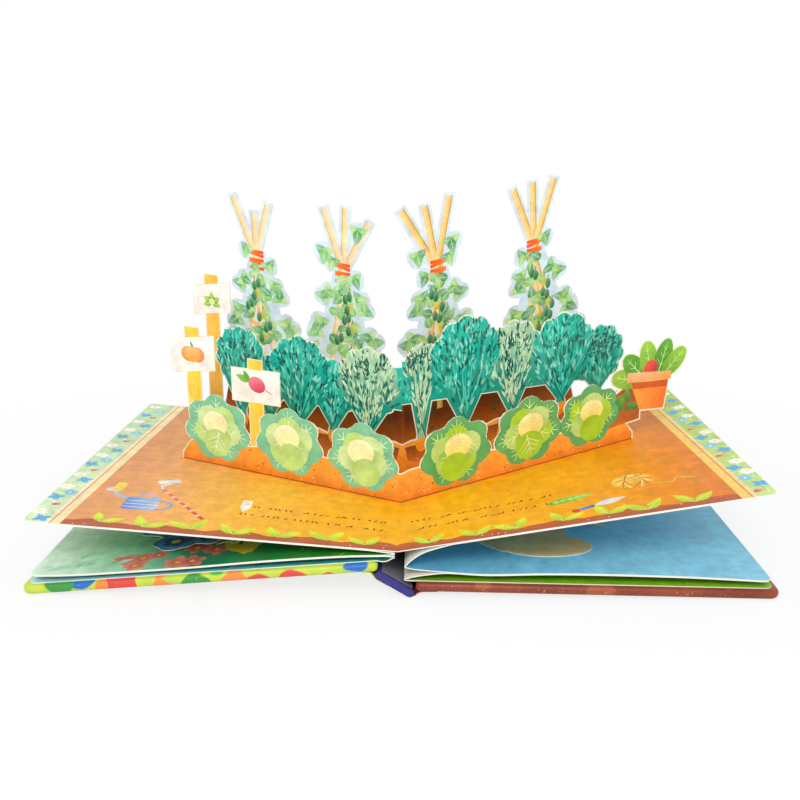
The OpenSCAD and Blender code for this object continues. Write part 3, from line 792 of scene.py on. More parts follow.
def roundLeaf(card, c, a, size, dark, light, vein=None, wide=0.9, ribs=3):
    # a round leaf from its stalk end, darker there; pale midrib and side veins where it has them
    base, d = np.array(c) - heading(a) * size, heading(a)
    card.paint(ovalShape(base, a, 2 * size, 2 * size * wide, 14), dark, light, base, base + d * 1.5 * size)
    if vein is None:
        return
    card.paint(strokeShape([base + d * size * 0.2, base + d * size * 1.8], 0.9, 0.35), vein)
    for k in range(ribs):
        p = base + d * size * (0.45 + 1.15 * k / ribs)
        for turn in (48, -48):
            reach = size * wide * (0.95 - 0.22 * k)
            card.paint(strokeShape([p, p + heading(a + turn) * reach], 0.7, 0.3), vein)


def speckle(card, n, s, h, colours, size=(0.25, 0.6)):
    for k in range(n):
        card.paint(discShape((rng.uniform(*s), rng.uniform(*h)), rng.uniform(*size), 5),
                   colours[k % len(colours)])


rim = ink(238, 240, 214)       # the thin pale line left round each die-cut shape
soilInk, soilDeep = ink(246, 162, 56), ink(226, 124, 26)

# Front row: a soil band with three rosettes of round leaves on each wing, and a planted pot at the right
frontLook = {
    -1: dict(ends=158, rosettes=[(25.5, 25, 25), (77, 25.5, 25), (130, 25.5, 25.5)],
             back=ink(84, 172, 142), backLight=ink(128, 202, 158),
             leaf=ink(146, 204, 84), leafLight=ink(190, 228, 134), vein=ink(232, 246, 206),
             heart=ink(250, 244, 168)),
    1: dict(ends=164, rosettes=[(37, 24, 25), (87, 25, 25), (131, 24, 23)], back=ink(46, 134, 78),
            backLight=ink(96, 172, 100),
            leaf=ink(118, 178, 20), leafLight=ink(168, 210, 48), vein=ink(222, 242, 150),
            heart=ink(240, 226, 96))}


def rosette(card, s, h, r, look, turn):
    c = np.array([s, h])
    card.paint(lobedShape(c, r - 0.7, 7, 0.2, 38, 0.9), look["back"])
    for k in range(7):                    # outer leaves fill the lobes
        a = 38 + 360 * k / 7
        p = c + heading(a) * r * 0.56 * np.array([1, 0.92])
        roundLeaf(card, p, a, r * 0.385, tint(look["back"], rng.uniform(-0.12, 0.1)), look["backLight"],
                  look["vein"] if (k + turn) % 3 != 1 else None, 0.98)
    for k in range(5):                    # broad inner leaves, some of them smooth
        a = 60 + turn * 31 + 72 * k
        p = c + heading(a) * r * 0.32 * np.array([1, 0.9])
        roundLeaf(card, p, a, r * 0.37, tint(look["leaf"], (-0.24, 0.04, -0.1, 0.14, -0.16)[k]),
                  tint(look["leafLight"], (0, 0.16, 0.1, 0, 0.2)[k]),
                  None if k % 2 == turn % 2 else look["vein"], 0.98)
    heart = c + [r * 0.05, r * 0.12]
    card.paint(discShape(heart, r * 0.36, 18, 0.9), look["heart"], tint(look["heart"], 0.35),
               heart - [0, r * 0.3], heart + [0, r * 0.3])
    for k in range(4):                    # fine folds across the heart
        arc = heart + heading(np.linspace(25, 155, 6)) * r * (0.06 + 0.075 * k) - [0, r * 0.1]
        card.paint(strokeShape(arc, 0.35), tint(look["heart"], -0.14))
    base = c - [r * 0.03, r * 0.18]      # one smooth leaf in front, cupping the heart
    a = -90 + 14 * (turn - 1)
    roundLeaf(card, base + heading(a) * r * 0.22, a, r * 0.37, tint(look["leafLight"], -0.12),
              look["leafLight"],
              look["vein"] if turn == 2 else None, 1.05)


def frontCard(side):
    look = frontLook[side]
    card = Card(plainGround(rim))
    card.cut(soilShape(look["ends"], 19, 4, 1.5))
    for s, h, r in look["rosettes"]:
        card.cut(lobedShape((s, h), r, 7, 0.2, 38, 0.9))
    potAt = 174
    if side > 0:
        for shape in potShapes(potAt):
            card.cut(shape)
    card.paint(soilShape(look["ends"], 19, 4, 1.5, 0.8), soilDeep, soilInk, (0, 0), (0, 9))
    speckle(card, 120, (2, look["ends"] - 16), (1, 17), (soilDeep, tint(soilInk, 0.35), ink(150, 70, 24)))
    if side > 0:
        paintPot(card, potAt)
    for k, (s, h, r) in enumerate(look["rosettes"]):
        rosette(card, s, h, r, look, k + (side > 0))
    card.paint([[0, 0], [look["ends"] - 0.8, 0], [look["ends"] - 0.8, 0.7], [0, 0.7]],
               ink(150, 84, 40))   # painted shade along the fold at its foot
    return card


def potShapes(p):
    plants = [ovalShape((p - 6 + 4 * k, 38), 160 - 29 * k, 24 + 4 * math.sin(math.radians(45 * k)),
                        15) for k in range(5)]
    pot = [(p - 7, 18), (p + 13, 15), (p + 15.5, 34), (p + 17.5, 34), (p + 17.5, 41), (p - 17, 47),
           (p - 17, 39), (p - 14, 38)]
    band = [(140, 10), (p - 5, 12), (p - 5, 26), (160, 40), (148, 34), (138, 24)]
    return [pot] + plants + [band]


def paintPot(card, p):
    clay, clayLight, edge = ink(242, 112, 24), ink(252, 158, 60), ink(226, 120, 40)
    card.paint([(141, 11), (p - 6, 13), (p - 6, 25.5), (160, 38.8), (149, 33), (139.5, 24)],
               ink(206, 116, 44), ink(150, 76, 30), (140, 10), (160, 38))
    for k in range(9):                   # low leaves at the foot of the pot
        c = np.array([143 + 2.7 * k, 15 + rng.uniform(-2, 12)])
        card.paint(leafShape(c, 60 + rng.uniform(-50, 50), 10, 4.6), ink(44, 120, 60), ink(110, 176, 60),
                   c, c + [2, 9])
    for k in range(5):
        base, a = np.array([p - 6 + 4 * k, 38.0]), 160 - 29 * k
        long = 24 + 4 * math.sin(math.radians(45 * k))
        dark, light = (ink(40, 136, 50), ink(104, 178, 60)) if k % 2 else (ink(96, 168, 40),
                ink(156, 206, 74))
        card.paint(ovalShape(base + heading(a) * 0.8, a, long - 1.6, 13.4), dark, light, base,
                   base + heading(a) * long)
        card.paint(strokeShape([base, base + heading(a) * long * 0.86], 0.8, 0.3), ink(214, 236, 150))
        for t in (0.3, 0.5, 0.7):
            q = base + heading(a) * long * t
            for turn in (42, -42):
                card.paint(strokeShape([q, q + heading(a + turn) * 6.4 * (1.2 - t)], 0.5, 0.2),
                           ink(196, 226, 130))
    card.paint(discShape((p + 1, 46), 5.2, 16), ink(206, 34, 40), ink(236, 84, 70), (p + 3, 43),
               (p - 1, 49))
    card.paint([(p - 13.2, 37.6), (p - 6.2, 18.9), (p + 12.3, 16), (p + 14.8, 34)], clay, clayLight,
               (p + 14, 26), (p - 9, 28))
    card.paint([(p - 13.2, 38.6), (p + 14.9, 35), (p + 14.3, 30.4), (p - 11.6, 34)], ink(206, 84, 16))
    card.paint([(p - 16.2, 39.4), (p + 16.8, 34.8), (p + 16.8, 40.3), (p - 16.2, 46)], clayLight,
               tint(clayLight, 0.22), (p, 36), (p, 43))
    for k in range(14):
        q = np.array([p - 10 + 1.7 * k, 20 + rng.uniform(0, 12)])
        card.paint(strokeShape([q, q + [0.3, 2.6]], 0.5, 0.2), edge)


makeRow("front_row", -54, {side: frontCard(side) for side in (-1, 1)}, {-1: (6, 152), 1: (6, 144)},
        soilInk)
print("front row made")

# Middle row: feathery bushes on stems that narrow to their root tops
middleLook = {
    -1: dict(ends=146, bushes=[(99, 52, 17), (121, 65, 20.5), (50, 54, 19), (75, 60, 25), (24, 61, 23.5)],
             pale=(4,)),
    1: dict(ends=160, bushes=[(14, 74, 13.8), (80, 66, 22.5), (45, 73, 26), (146, 51, 20.5),
                              (117, 61, 25)], pale=(0, 1))}
bushTones = dict(base=ink(0, 156, 136), bright=ink(4, 186, 166), stroke=ink(84, 208, 182),
                 dark=ink(0, 86, 78),
                 deep=ink(0, 122, 106), pale=ink(142, 200, 150), paleStroke=ink(190, 228, 180),
                 root=ink(250, 168, 44), mound=ink(124, 62, 22))


def sprig(card, p, a, size, colour, n=2):
    # a short twig with n pairs of pointed leaves and one at its tip
    d = heading(a)
    card.paint(strokeShape([p, p + d * size], 0.5, 0.3), colour)
    for k in range(n + 1):
        q = p + d * size * (0.15 + 0.85 * k / (n + 0.5))
        for turn in ((42, -42) if k < n else (0,)):
            card.paint(leafShape(q, a + turn, size * 0.48, size * 0.17, 3), colour)


def bush(card, s, h, r, tones, pale, dense):
    c, foot = np.array([s, h], float), np.array([s, 22.0])
    bright = tint(tones["pale"], 0.15) if pale else tones["bright"]
    stroke = tones["paleStroke"] if pale else tones["stroke"]
    w, z = r * 0.8 - 0.8, h - r * 0.45
    card.paint([(s - w, z), (s - 2.9, 27), (s - 3.4, 24), (s + 3.4, 24), (s + 2.9, 27), (s + w, z)],
               tones["base"])
    card.paint(lobedShape(c, r - 0.9, 11, 0.12, 90, 1.08, 5), tones["base"], bright, c - [0, r * 0.6],
               c + [0, r * 0.6])
    for k in range(11):                  # stems fan out from the root top
        a = 90 + (k - 5) * 11.5
        tip = c + heading(a) * r * np.array([0.8, 0.9]) * rng.uniform(0.7, 0.95)
        start = foot + [(k - 5) * 0.55, 2]
        bend = np.array([start, start * 0.5 + tip * 0.5 - [(k - 5) * 0.45, 0], tip])
        card.paint(strokeShape(smoothPath(bend, 3), 1.1, 0.35), (stroke, tones["deep"], bright)[k % 3])
    tries = np.stack([rng.uniform(-1, 1, 700) * r, rng.uniform(29, h + r * 0.98, 700)], 1)
    crown = r * 0.92 * np.sqrt(np.maximum(1 - ((tries[:, 1] - h) / (r * 1.0)) ** 2, 0))
    flare = np.where(tries[:, 1] < z, 2 + (w - 3) * (tries[:, 1] - 27) / (z - 27), 0)
    inside = tries[np.abs(tries[:, 0]) < np.maximum(crown, flare) - 1.2][:int(11 * r)]
    for k, (x, y) in enumerate(inside):  # narrow leaves that all point away from the root
        lean = math.degrees(math.atan2(y - foot[1] + r * 0.35, x)) + rng.uniform(-26, 26)
        colour = (stroke, tones["deep"], stroke, bright, tint(stroke, 0.25), tones["dark"])[k % 6]
        size = min(rng.uniform(4.5, 7.0), max(h + r * 0.98 - y, 2.5))
        card.paint(leafShape((s + x, y), lean, size, 1.5, 3), colour)
    for k in range(dense):               # dark sprigs over the crown
        a, far = rng.uniform(0, 180), r * math.sqrt(rng.uniform(0.02, 1)) * 0.74
        p = c + heading(a) * far - [0, r * 0.08]
        sprig(card, p, 90 + (p[0] - s) / r * -40 + rng.uniform(-12, 12), 5.4, tones["dark"], 1)


# foliage between the bushes: its end, underside and top
joining = {-1: (105, 46, 44, 76, 56), 1: (150, 50, 34, 80, 54)}


def foliageShape(side, d=0.0):
    end, low0, low1, high0, high1 = joining[side]
    return [(0, low0 + d), (end - d, low1 + d), (end - d, high1 - d), (0, high0 - d)]


def middleCard(side):
    look = middleLook[side]
    card = Card(plainGround(rim))
    card.cut(soilShape(look["ends"], 23, 5, 1.5))
    card.cut(foliageShape(side))
    for s, h, r in look["bushes"]:
        card.cut(lobedShape((s, h), r, 11, 0.12, 90, 1.08, 5))
        w, z = r * 0.8, h - r * 0.45
        card.cut([(s - w, z), (s - 3.5, 27), (s - 5, 21), (s + 5, 21), (s + 3.5, 27), (s + w, z)])
    card.paint(soilShape(look["ends"], 23, 5, 1.5, 0.8), soilDeep, soilInk, (0, 4), (0, 18))
    for k in range(9):                   # darker mounds behind the roots
        s = 10 + k * (look["ends"] - 20) / 8
        mound = np.array([[s - 8, 20.2], [s - 6, 11], [s, 8], [s + 6, 11], [s + 8, 20.2]])
        card.paint(mound, bushTones["mound"], ink(206, 116, 40), (s, 21), (s, 9))
    speckle(card, 90, (2, look["ends"] - 16), (1, 20), (soilDeep, tint(soilInk, 0.3), bushTones["mound"]))
    for s, h, r in look["bushes"]:       # root tops
        card.paint(ovalShape((s, 14.5), 90, 12, 9, 12), ink(244, 146, 24), bushTones["root"], (s, 15),
                   (s, 26))
        for t in (17.5, 20.5):
            card.paint(strokeShape([(s - 3, t), (s + 1.5, t + 0.4)], 0.5, 0.2), ink(220, 110, 20))
    card.paint(foliageShape(side, 0.7), bushTones["base"], bushTones["bright"], (0, 46), (0, 66))
    end, low0, low1, high0, high1 = joining[side]
    for k in range(end * 4):
        x = rng.uniform(1, end - 4)
        p = (x, rng.uniform(np.interp(x, [0, end], [low0, low1]) + 1.5,
                            np.interp(x, [0, end], [high0, high1]) - 6))
        card.paint(leafShape(p, 90 + rng.uniform(-50, 50), rng.uniform(4, 6), 1.5, 3),
                   bushTones[("stroke", "deep", "stroke", "bright", "dark")[k % 5]])
    for k, (s, h, r) in enumerate(look["bushes"]):
        dense = int(r * 0.9) if k in look["pale"] else (44 if side > 0 and k == 3 else 12)
        bush(card, s, h, r, bushTones, k in look["pale"], dense)
    return card


makeRow("middle_row", -4, {side: middleCard(side) for side in (-1, 1)}, {-1: (6, 140), 1: (6, 154)},
        soilInk)
print("middle row made")

# Rear row: cane towers tied with twine, with leaves and small fruits climbing them
rearLook = {
    -1: dict(ends=150, towers=[(46, 0, -2, ((-21.7, -9), (-3.1, -0.5), (14.5, -2.5))),
                               (115, -3, 0, ((-11, -4), (1, -10.5), (18.6, 0)))],
             sprays=[(14, 11, 9), (-12, 27, 9)], cane=ink(250, 216, 156), caneEdge=ink(236, 190, 120),
             leaves=[ink(164, 218, 124), ink(118, 204, 88), ink(40, 168, 68)]),
    1: dict(ends=138, towers=[(26, 2, 1, ((-28.5, 1.5), (-10.7, 2), (8.4, 6))),
                              (100, 10, 1, ((-18.5, 1.5), (-2.8, 4), (14.6, 4)))],
            sprays=[(-15, 9, 8.5), (10, 15, 8.5)], cane=ink(246, 202, 96), caneEdge=ink(218, 164, 56),
            leaves=[ink(148, 206, 78), ink(100, 188, 50), ink(24, 150, 56)])}


def paintCane(card, a, b, look, w=5.0):
    a, b = np.array(a, float), np.array(b, float)
    side = leftOf((b - a) / np.linalg.norm(b - a))
    card.paint(strokeShape([a, b], w), look["cane"], tint(look["cane"], 0.2), a - side * w / 2,
               a + side * w / 2)
    card.paint(strokeShape([a - side * (w / 2 - 0.5), b - side * (w / 2 - 0.5)], 1.0), look["caneEdge"])
    card.paint(strokeShape([a + side * w * 0.18, b + side * w * 0.18], 0.5), tint(look["cane"], 0.45))
    q = a + (b - a) * 0.72               # one faint knot
    card.paint(strokeShape([q - side * w * 0.46, q + side * w * 0.46], 0.4), tint(look["caneEdge"], 0.15))


def climbLeaf(card, p, a, size, tone, light):
    # an oval leaf with a light midrib and two pairs of veins
    p, d = np.array(p, float), heading(a)
    base = p - d * size * 0.9
    card.paint(leafShape(base, a, size * 1.8, size * 1.15, 7, 0.7), tint(tone, -0.08), light, base,
               base + d * size * 1.6)
    card.paint(strokeShape([base + d * 0.6, base + d * size * 1.6], 0.55, 0.2), tint(light, 0.35))
    for t in (0.5, 0.95):
        for turn in (40, -40):
            q = base + d * size * t
            card.paint(strokeShape([q, q + heading(a + turn) * size * 0.42], 0.4, 0.15), tint(light, 0.2))


def towerLayout(q):
    s, footOff, tieOff, tops = q
    tie, foot = np.array([s, 130 + tieOff], float), np.array([s + footOff, 30], float)
    canes = [(tie + [2 - 2 * i, -6], np.array([s + top[0], 174 + top[1]])) for i, top in enumerate(tops)]
    climb = []
    for k in range(11):
        u, sign = k / 10, 1 if k % 2 == 0 else -1
        p = tie * u + (foot + [0, 38]) * (1 - u) + [sign * (22 - 17 * u), 0]
        climb.append((p + [sign * 3, 5 * math.sin(math.radians(80 * k))], 9.4 - 2 * u, 40 * k))
    return tie, foot, canes, climb


def rearCard(side):
    look = rearLook[side]
    margin = ink(212, 232, 244)
    card = Card(plainGround(margin))
    card.cut(soilShape(look["ends"], 42, 3, 2))
    layouts = [towerLayout(q) for q in look["towers"]]
    layouts[0][3].extend((layouts[0][0] + [ds, dh], r, 30) for ds, dh, r in look["sprays"])
    for tie, foot, canes, climb in layouts:
        for a, b in canes:
            card.cut(strokeShape([b, a], 8.6))
        card.cut([foot + [-24, 0], foot + [24, 0], foot + [24, 30], tie + [6, 4], tie + [-6, 4],
                  foot + [-24, 30]])
        for p, r, turn in climb:
            card.cut(lobedShape(p, r, 3, 0.18, turn, 1, 8))
    card.paint(soilShape(look["ends"], 42, 3, 2, 0.9), ink(216, 124, 36), ink(112, 58, 24), (0, 4), (0, 26))
    speckle(card, 60, (2, look["ends"] - 3), (20, 38), (ink(60, 32, 16), ink(160, 90, 40)))
    for k in range(26):                  # dark sprigs that show in the arches
        sprig(card, np.array([rng.uniform(6, look["ends"] - 8), rng.uniform(8, 32)]),
              rng.uniform(40, 140), 6.0, ink(16, 92, 84), 1)
    for n, (tie, foot, canes, climb) in enumerate(layouts):
        for k in (-1, 0, 1):             # the legs of the tower below its tie
            paintCane(card, foot + [k * 15, -2], tie + [k * -1.5, 2], look, 4.4)
        for a, b in canes:
            d = (b - a) / np.linalg.norm(b - a)
            paintCane(card, a, b - d * 1.8, look)
        for t in (0.25, 0.55):           # cross pieces lashed to the legs
            q = foot * (1 - t) + (tie - [0, 12]) * t
            reach = 15 * (1 - t) + 3
            card.paint(strokeShape([q + [-reach, -3], q + [reach, 4]], 2.6), look["cane"], look["caneEdge"],
                       q - [reach, 0], q + [reach, 0])
        for k in range(5):               # twine
            q = tie + [0, -7.4 + 3.0 * k]
            card.paint(strokeShape([q + [-5.9, -1.2], q + [5.9, 1.5 if k % 2 else -0.4]], 2.5, 2.0),
                       ink(248, 78, 22), ink(252, 124, 46), q - [5, 0], q + [5, 0])
        for k, (p, r, turn) in enumerate(climb):
            for j in range(3):           # a cluster of leaves in each lobe
                a = turn + 120 * j + 8
                t = look["leaves"][(k + j + n) % 3]
                climbLeaf(card, p + heading(a) * r * 0.36, a + (k * 7 % 5) - 2, r * 0.68, t, tint(t, 0.3))
        for k in range(34):              # more leaves over the backing card
            u = rng.uniform(0.0, 0.92)
            wide = 17 if u < 0.3 else 17 * (1 - (u - 0.3) / 0.8)
            p = (foot + [0, 12]) * (1 - u) + tie * u + [rng.uniform(-wide, wide), 0]
            t = look["leaves"][k % 3]
            climbLeaf(card, p, rng.uniform(-60, 240), rng.uniform(6.0, 7.8) * (1 - 0.25 * u), t,
                      tint(t, 0.3))
        for k in range(9):               # small round fruits in pairs under the leaves
            u = 0.08 + 0.09 * k
            wide = 13 * (1 - 0.7 * u)
            p = (foot + [0, 14]) * (1 - u) + tie * u + [rng.uniform(-wide, wide), 0]
            for j, tone in enumerate(((ink(16, 124, 62), ink(204, 200, 44))[k % 2], ink(16, 124, 62))):
                c = p + [3.2 * j, -2.2 * j]
                card.paint(strokeShape([c + [0, 4.6], c], 0.5), ink(10, 96, 60))
                card.paint(ovalShape(c + [0, 2], -90, 7.4, 4.2, 11), tone, tint(tone, 0.2), c + [1.4, -2],
                           c + [-1.4, 1])
    return card


makeRow("rear_row", 48, {side: rearCard(side) for side in (-1, 1)}, {-1: (6, 144), 1: (6, 132)}, soilInk)
print("rear row made")

# Covers: padded boards in a printed wrap. The wrap is one grid: places round the outline by
# steps of a profile that goes from the outer face over the rounded edge to the inner face.
coverLook = dict(edge=2.2, foreCorner=6.0, hingeCorner=2.6, arc=9, roll=6)


def ringPoints(x0, x1, half, inset, corners, n):
    # rounded rectangle moved in by inset, with its own corner radius at each corner
    a = np.concatenate([np.linspace(90 * k, 90 * k + 90, n) for k in range(4)])
    r = np.repeat([max(c - inset, 0.25) for c in corners], n)
    sx, sy = np.repeat([1, -1, -1, 1], n), np.repeat([1, 1, -1, -1], n)
    mid = np.stack([np.where(sx > 0, x1, x0) - sx * (inset + r), sy * (half - inset - r)], 1)
    return mid + heading(a) * r[:, None]


def makeCover(name, long, place, look, finish, body):
    t, e = book["board"], look["edge"]
    phi = np.radians(np.linspace(-90, 0, look["roll"]))
    low = np.stack([e - e * np.cos(phi), e + e * np.sin(phi)], 1)
    profile = np.concatenate([[[e + 1, 0]], low, (low * [1, -1] + [0, t])[::-1], [[e + 1, t]]])
    corners = (look["hingeCorner"], look["foreCorner"], look["foreCorner"], look["hingeCorner"])
    rings = [np.concatenate([ringPoints(0, long, book["coverHigh"] / 2, d, corners, look["arc"]),
                             np.full((4 * look["arc"], 1), z)], 1) for d, z in profile]
    grid = np.stack(rings)
    m, n = grid.shape[:2]
    xz = place(grid[..., 0], grid[..., 2])
    points = np.stack([xz[..., 0], grid[..., 1], xz[..., 1]], -1).reshape(-1, 3)
    i, j = np.meshgrid(np.arange(m - 1), np.arange(n), indexing="ij")
    k = (j + 1) % n
    quads = np.stack([i * n + j, i * n + k, (i + 1) * n + k, (i + 1) * n + j], -1).reshape(-1, 4).tolist()
    caps = [list(range(n - 1, -1, -1)), list(range((m - 1) * n, m * n))]
    faces = quads + caps
    if place is onBack:                 # the back cover is drawn from the other side
        faces = [f[::-1] for f in faces]
    mesh = bpy.data.meshes.new(name)
    mesh.from_pydata((points / 1000).tolist(), [], faces)
    wear = mesh.attributes.new("wear", "FLOAT", "POINT")
    wear.data.foreach_set("value", np.repeat(np.sin(np.pi * np.arange(m) / (m - 1)) ** 2, n))
    mesh.shade_smooth()
    mesh.set_sharp_from_angle(angle=math.radians(40))
    return addObject(name, mesh, finish, body, (name,))


def wrapFinish(name, base, deep, spots, amount, scale=26):
    # printed wrap paper: cloudy ground, scattered leaf-like fields of colour, and rubbed pale edges
    f = Finish(name)
    cloud = f.noise(30, 4, (1, 1, 1), 0.6)
    ground = f.mix(f.band(cloud, 0.3, 0.7), base, deep)
    bent = f.add("VectorMath", {"operation": "MULTIPLY_ADD"},
                 {0: f.add("TexNoise", None, {"Vector": f.place, "Scale": 40.0}, out="Color"),
                                                              1: (0.012, 0.012, 0.012), 2: f.place})
    flat = f.add("VectorMath", {"operation": "MULTIPLY"}, {0: bent, 1: (1.0, 0.55, 1.0)})
    cell = {"Vector": flat, "Scale": float(scale)}
    near = f.add("TexVoronoi", None, cell, out="Distance")
    pick = f.add("SeparateColor", None, {0: f.add("TexVoronoi", None, cell, out="Color")}, out="Red")
    n = len(spots)
    stops = [(k / n, c) for k, c in enumerate(spots)]
    fields = f.add("ValToRGB", {"stops": stops}, {"Fac": pick})
    fields.socket.node.color_ramp.interpolation = "CONSTANT"
    colour = f.mix(f.band(near, amount, amount - 0.05), ground, fields)
    pores = f.noise(900, 2)
    colour = f.mix(f.band(pores, 0.66, 0.8, (0.0, 0.12)), colour, tint(np.array(base), 0.4))
    rub = f.add("Attribute", {"attribute_name": "wear"}, out="Fac") * f.band(pores, 0.5, 0.8)
    colour = f.mix(f.band(rub, 0.4, 0.9, (0.0, 0.3)), colour, (0.9, 0.88, 0.8))
    return f.surface(colour, f.band(cloud, 0.2, 0.8, (0.36, 0.5)), pores, 0.00003, Specular_IOR_Level=0.45)


frontWrap = wrapFinish("front_wrap", ink(206, 218, 70), ink(176, 204, 60),
                       [ink(30, 110, 190), ink(222, 70, 60), ink(60, 150, 60), ink(240, 140, 60),
                        ink(90, 180, 70)], 0.52, 52)
backWrap = wrapFinish("back_wrap", ink(150, 66, 34), ink(126, 50, 26),
                      [ink(130, 56, 30), ink(168, 84, 46)], 0.3, 30)
makeCover("front_cover", frontLong, onFront, coverLook, frontWrap, "front_cover")
makeCover("back_cover", backLong, onBack, coverLook, backWrap, "back_cover")

# Wrap paper folded into the two joints
strips = dict(
    front=dict(path=[(-20, 14.2), (-16, 14.3), (-14.3, 13.2), (-13.2, 11.7), (-11.7, 10.2), (-8, 8.0),
                     (-5.5, 6.4)],
               colour=(214, 214, 60), body="front_cover", start=(-0.0162, 0, 0.0143),
               end=(-0.0118, 0, 0.0103)),
    back=dict(path=[(5.2, 0.32), (7.8, 0.32), (9.6, 0.9), (11, 2.1), (14, 3.0), (22, 3.1)],
              colour=(146, 64, 32), body="back_cover", start=(0.0122, 0, 0.0026), end=(0.0082, 0, 0.0005)))
for name, strip in strips.items():
    path = smoothPath(strip["path"], 4)
    place, run = alongPath(path, 0.55)
    card = Card(plainGround(ink(*strip["colour"])))
    card.cut(boxShape(0, -132, run[-1], 132))
    for k in range(26):                  # the print of the wrap runs on over the strip
        c = (rng.uniform(0, run[-1]), -128 + 10 * k)
        card.paint(ovalShape(c, rng.uniform(0, 90), 7, 4),
                   ink(*((60, 150, 60), (240, 150, 60), (180, 206, 60))[k % 3])
                   if name == "front" else ink(*((172, 84, 44), (128, 50, 26))[k % 2]))
    shell = card.shell(place, pathLines(run, 132))
    shell[2][..., :3] = np.where(shell[2][..., 3:] > 0, shell[2][..., :3], ink(*strip["colour"]))
    piece = makePiece(name + "_hinge_paper", [shell], rowCard, None, (name + "_hinge_strip",))
    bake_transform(piece)
print("covers made")


def keepNode(node, finish):
    # a CAD solid whose shape is right keeps its mesh and gets this finish
    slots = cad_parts[node].material_slots
    if len(slots):
        for s in slots:
            s.material = finish
    else:
        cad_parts[node].data.materials.append(finish)


def paperFinish(name, base, deep, scale, rough):
    f = Finish(name)
    cloud, fibre = f.noise(scale, 4), f.noise(1500, 3, (1, 0.3, 1))
    colour = f.mix(f.band(cloud, 0.3, 0.7), base, deep)
    colour = f.mix(f.band(fibre, 0.55, 0.75, (0.0, 0.22)), colour, tint(np.array(base), 0.45))
    return f.surface(colour, f.band(fibre, 0.3, 0.7, (rough - 0.08, rough + 0.08)), fibre, 0.00005,
                     Specular_IOR_Level=0.4)


keepNode("spine_board", paperFinish("spine_wrap", ink(50, 46, 128), ink(38, 36, 104), 45, 0.42))
keepNode("spine_lining", paperFinish("grey_lining", ink(126, 126, 132), ink(104, 104, 112), 30, 0.8))
keepNode("folded_card_one", paperFinish("pressed_blue_card", ink(60, 150, 200), ink(36, 116, 176), 50, 0.5))
keepNode("folded_card_five", paperFinish("pressed_green_card", ink(96, 168, 70), ink(60, 136, 50), 50, 0.5))


# Pop-ups of the closed spreads: cards cut to shapes seen from above, lying on a curved leaf
def onLeaf(leaf, up, thick=0.5):
    path = smoothPath(leaf, 3)
    side = leftOf(np.gradient(path, axis=0))
    side /= np.linalg.norm(side, axis=1)[:, None]
    path = path + side * (thick / 2 + 0.05 + up)

    def place(uv, depth):
        x = uv[:, 0]
        z = np.interp(x, path[:, 0], path[:, 1]) + thick * (0.5 - depth)
        return np.stack([x, uv[:, 1], z], 1)
    return place, linesAt(path[1:-1, 0], half)


def foldedCard(name, leaf, up, shapes, ground, paint):
    place, lines = onLeaf(leaf, up)
    card = Card(plainGround(ground))
    for shape in shapes:
        card.cut(shape)
    low, high = (np.concatenate(shapes)[:, 0].min() - 2, np.concatenate(shapes)[:, 0].max() + 2)
    paint(card)
    makePiece(name, [card.shell(place, [q for q in lines if low < q[0][0] < high])], rowCard, "block",
              (name,))


def paintBlooms(card):
    for c, r in (((-131, -96), 13), ((-112, -92), 11), ((-146, -74), 11)):
        card.paint(lobedShape(c, r - 0.8, 5, 0.15, 20 * r), ink(24, 112, 204), ink(80, 168, 236), c,
                   (c[0], c[1] - r))
        card.paint(lobedShape(c, r * 0.6, 5, 0.25, 20 * r + 30), ink(10, 60, 140))
        card.paint(discShape(c, r * 0.22), ink(250, 206, 70))
    for k in range(16):
        c = np.array([-136 + 4.2 * k, -78 + 3.0 * k])
        card.paint(strokeShape([c, c + [7, 10]], 0.9, 0.3), ink(60, 140, 214))


def paintGreens(card):
    for k in range(5):
        p, a = np.array([-60, -60 + 4 * k], float), 222 + 9 * k
        card.paint(leafShape(p, a, 60 - 3 * k, 13), ink(90, 168, 60), ink(150, 206, 90), p,
                   p + heading(a) * 50)
        card.paint(strokeShape([p, p + heading(a) * (52 - 3 * k)], 0.8, 0.3), ink(206, 230, 150))
        for j in range(6):
            q = p + heading(a) * (8 + 7 * j)
            for turn in (40, -40):
                card.paint(strokeShape([q, q + heading(a + turn) * 5], 0.5, 0.2), ink(190, 222, 130))


def paintDisc(card):
    card.paint(discShape((86, -92), 26, 40, 0.6), ink(250, 214, 144), ink(238, 190, 116), (64, -104),
               (100, -78))
    for k in range(7):                   # thin rings, as on a cut trunk
        card.paint(strokeShape(np.array([86, -92]) + heading(np.linspace(200 + 9 * k, 330 - 6 * k,
                9)) * (22 - 2.7 * k) * np.array([1, 0.6]), 0.5, 0.3),
                   ink(180, 124, 60))


def paintTongue(card):
    p = np.array([60.0, -10.0])
    card.paint(leafShape(p, -38, 82, 22, 10), ink(240, 196, 96), ink(250, 218, 140), p,
               p + heading(-38) * 80)
    card.paint(strokeShape([p, p + heading(-38) * 74], 0.9, 0.3), ink(206, 150, 60))


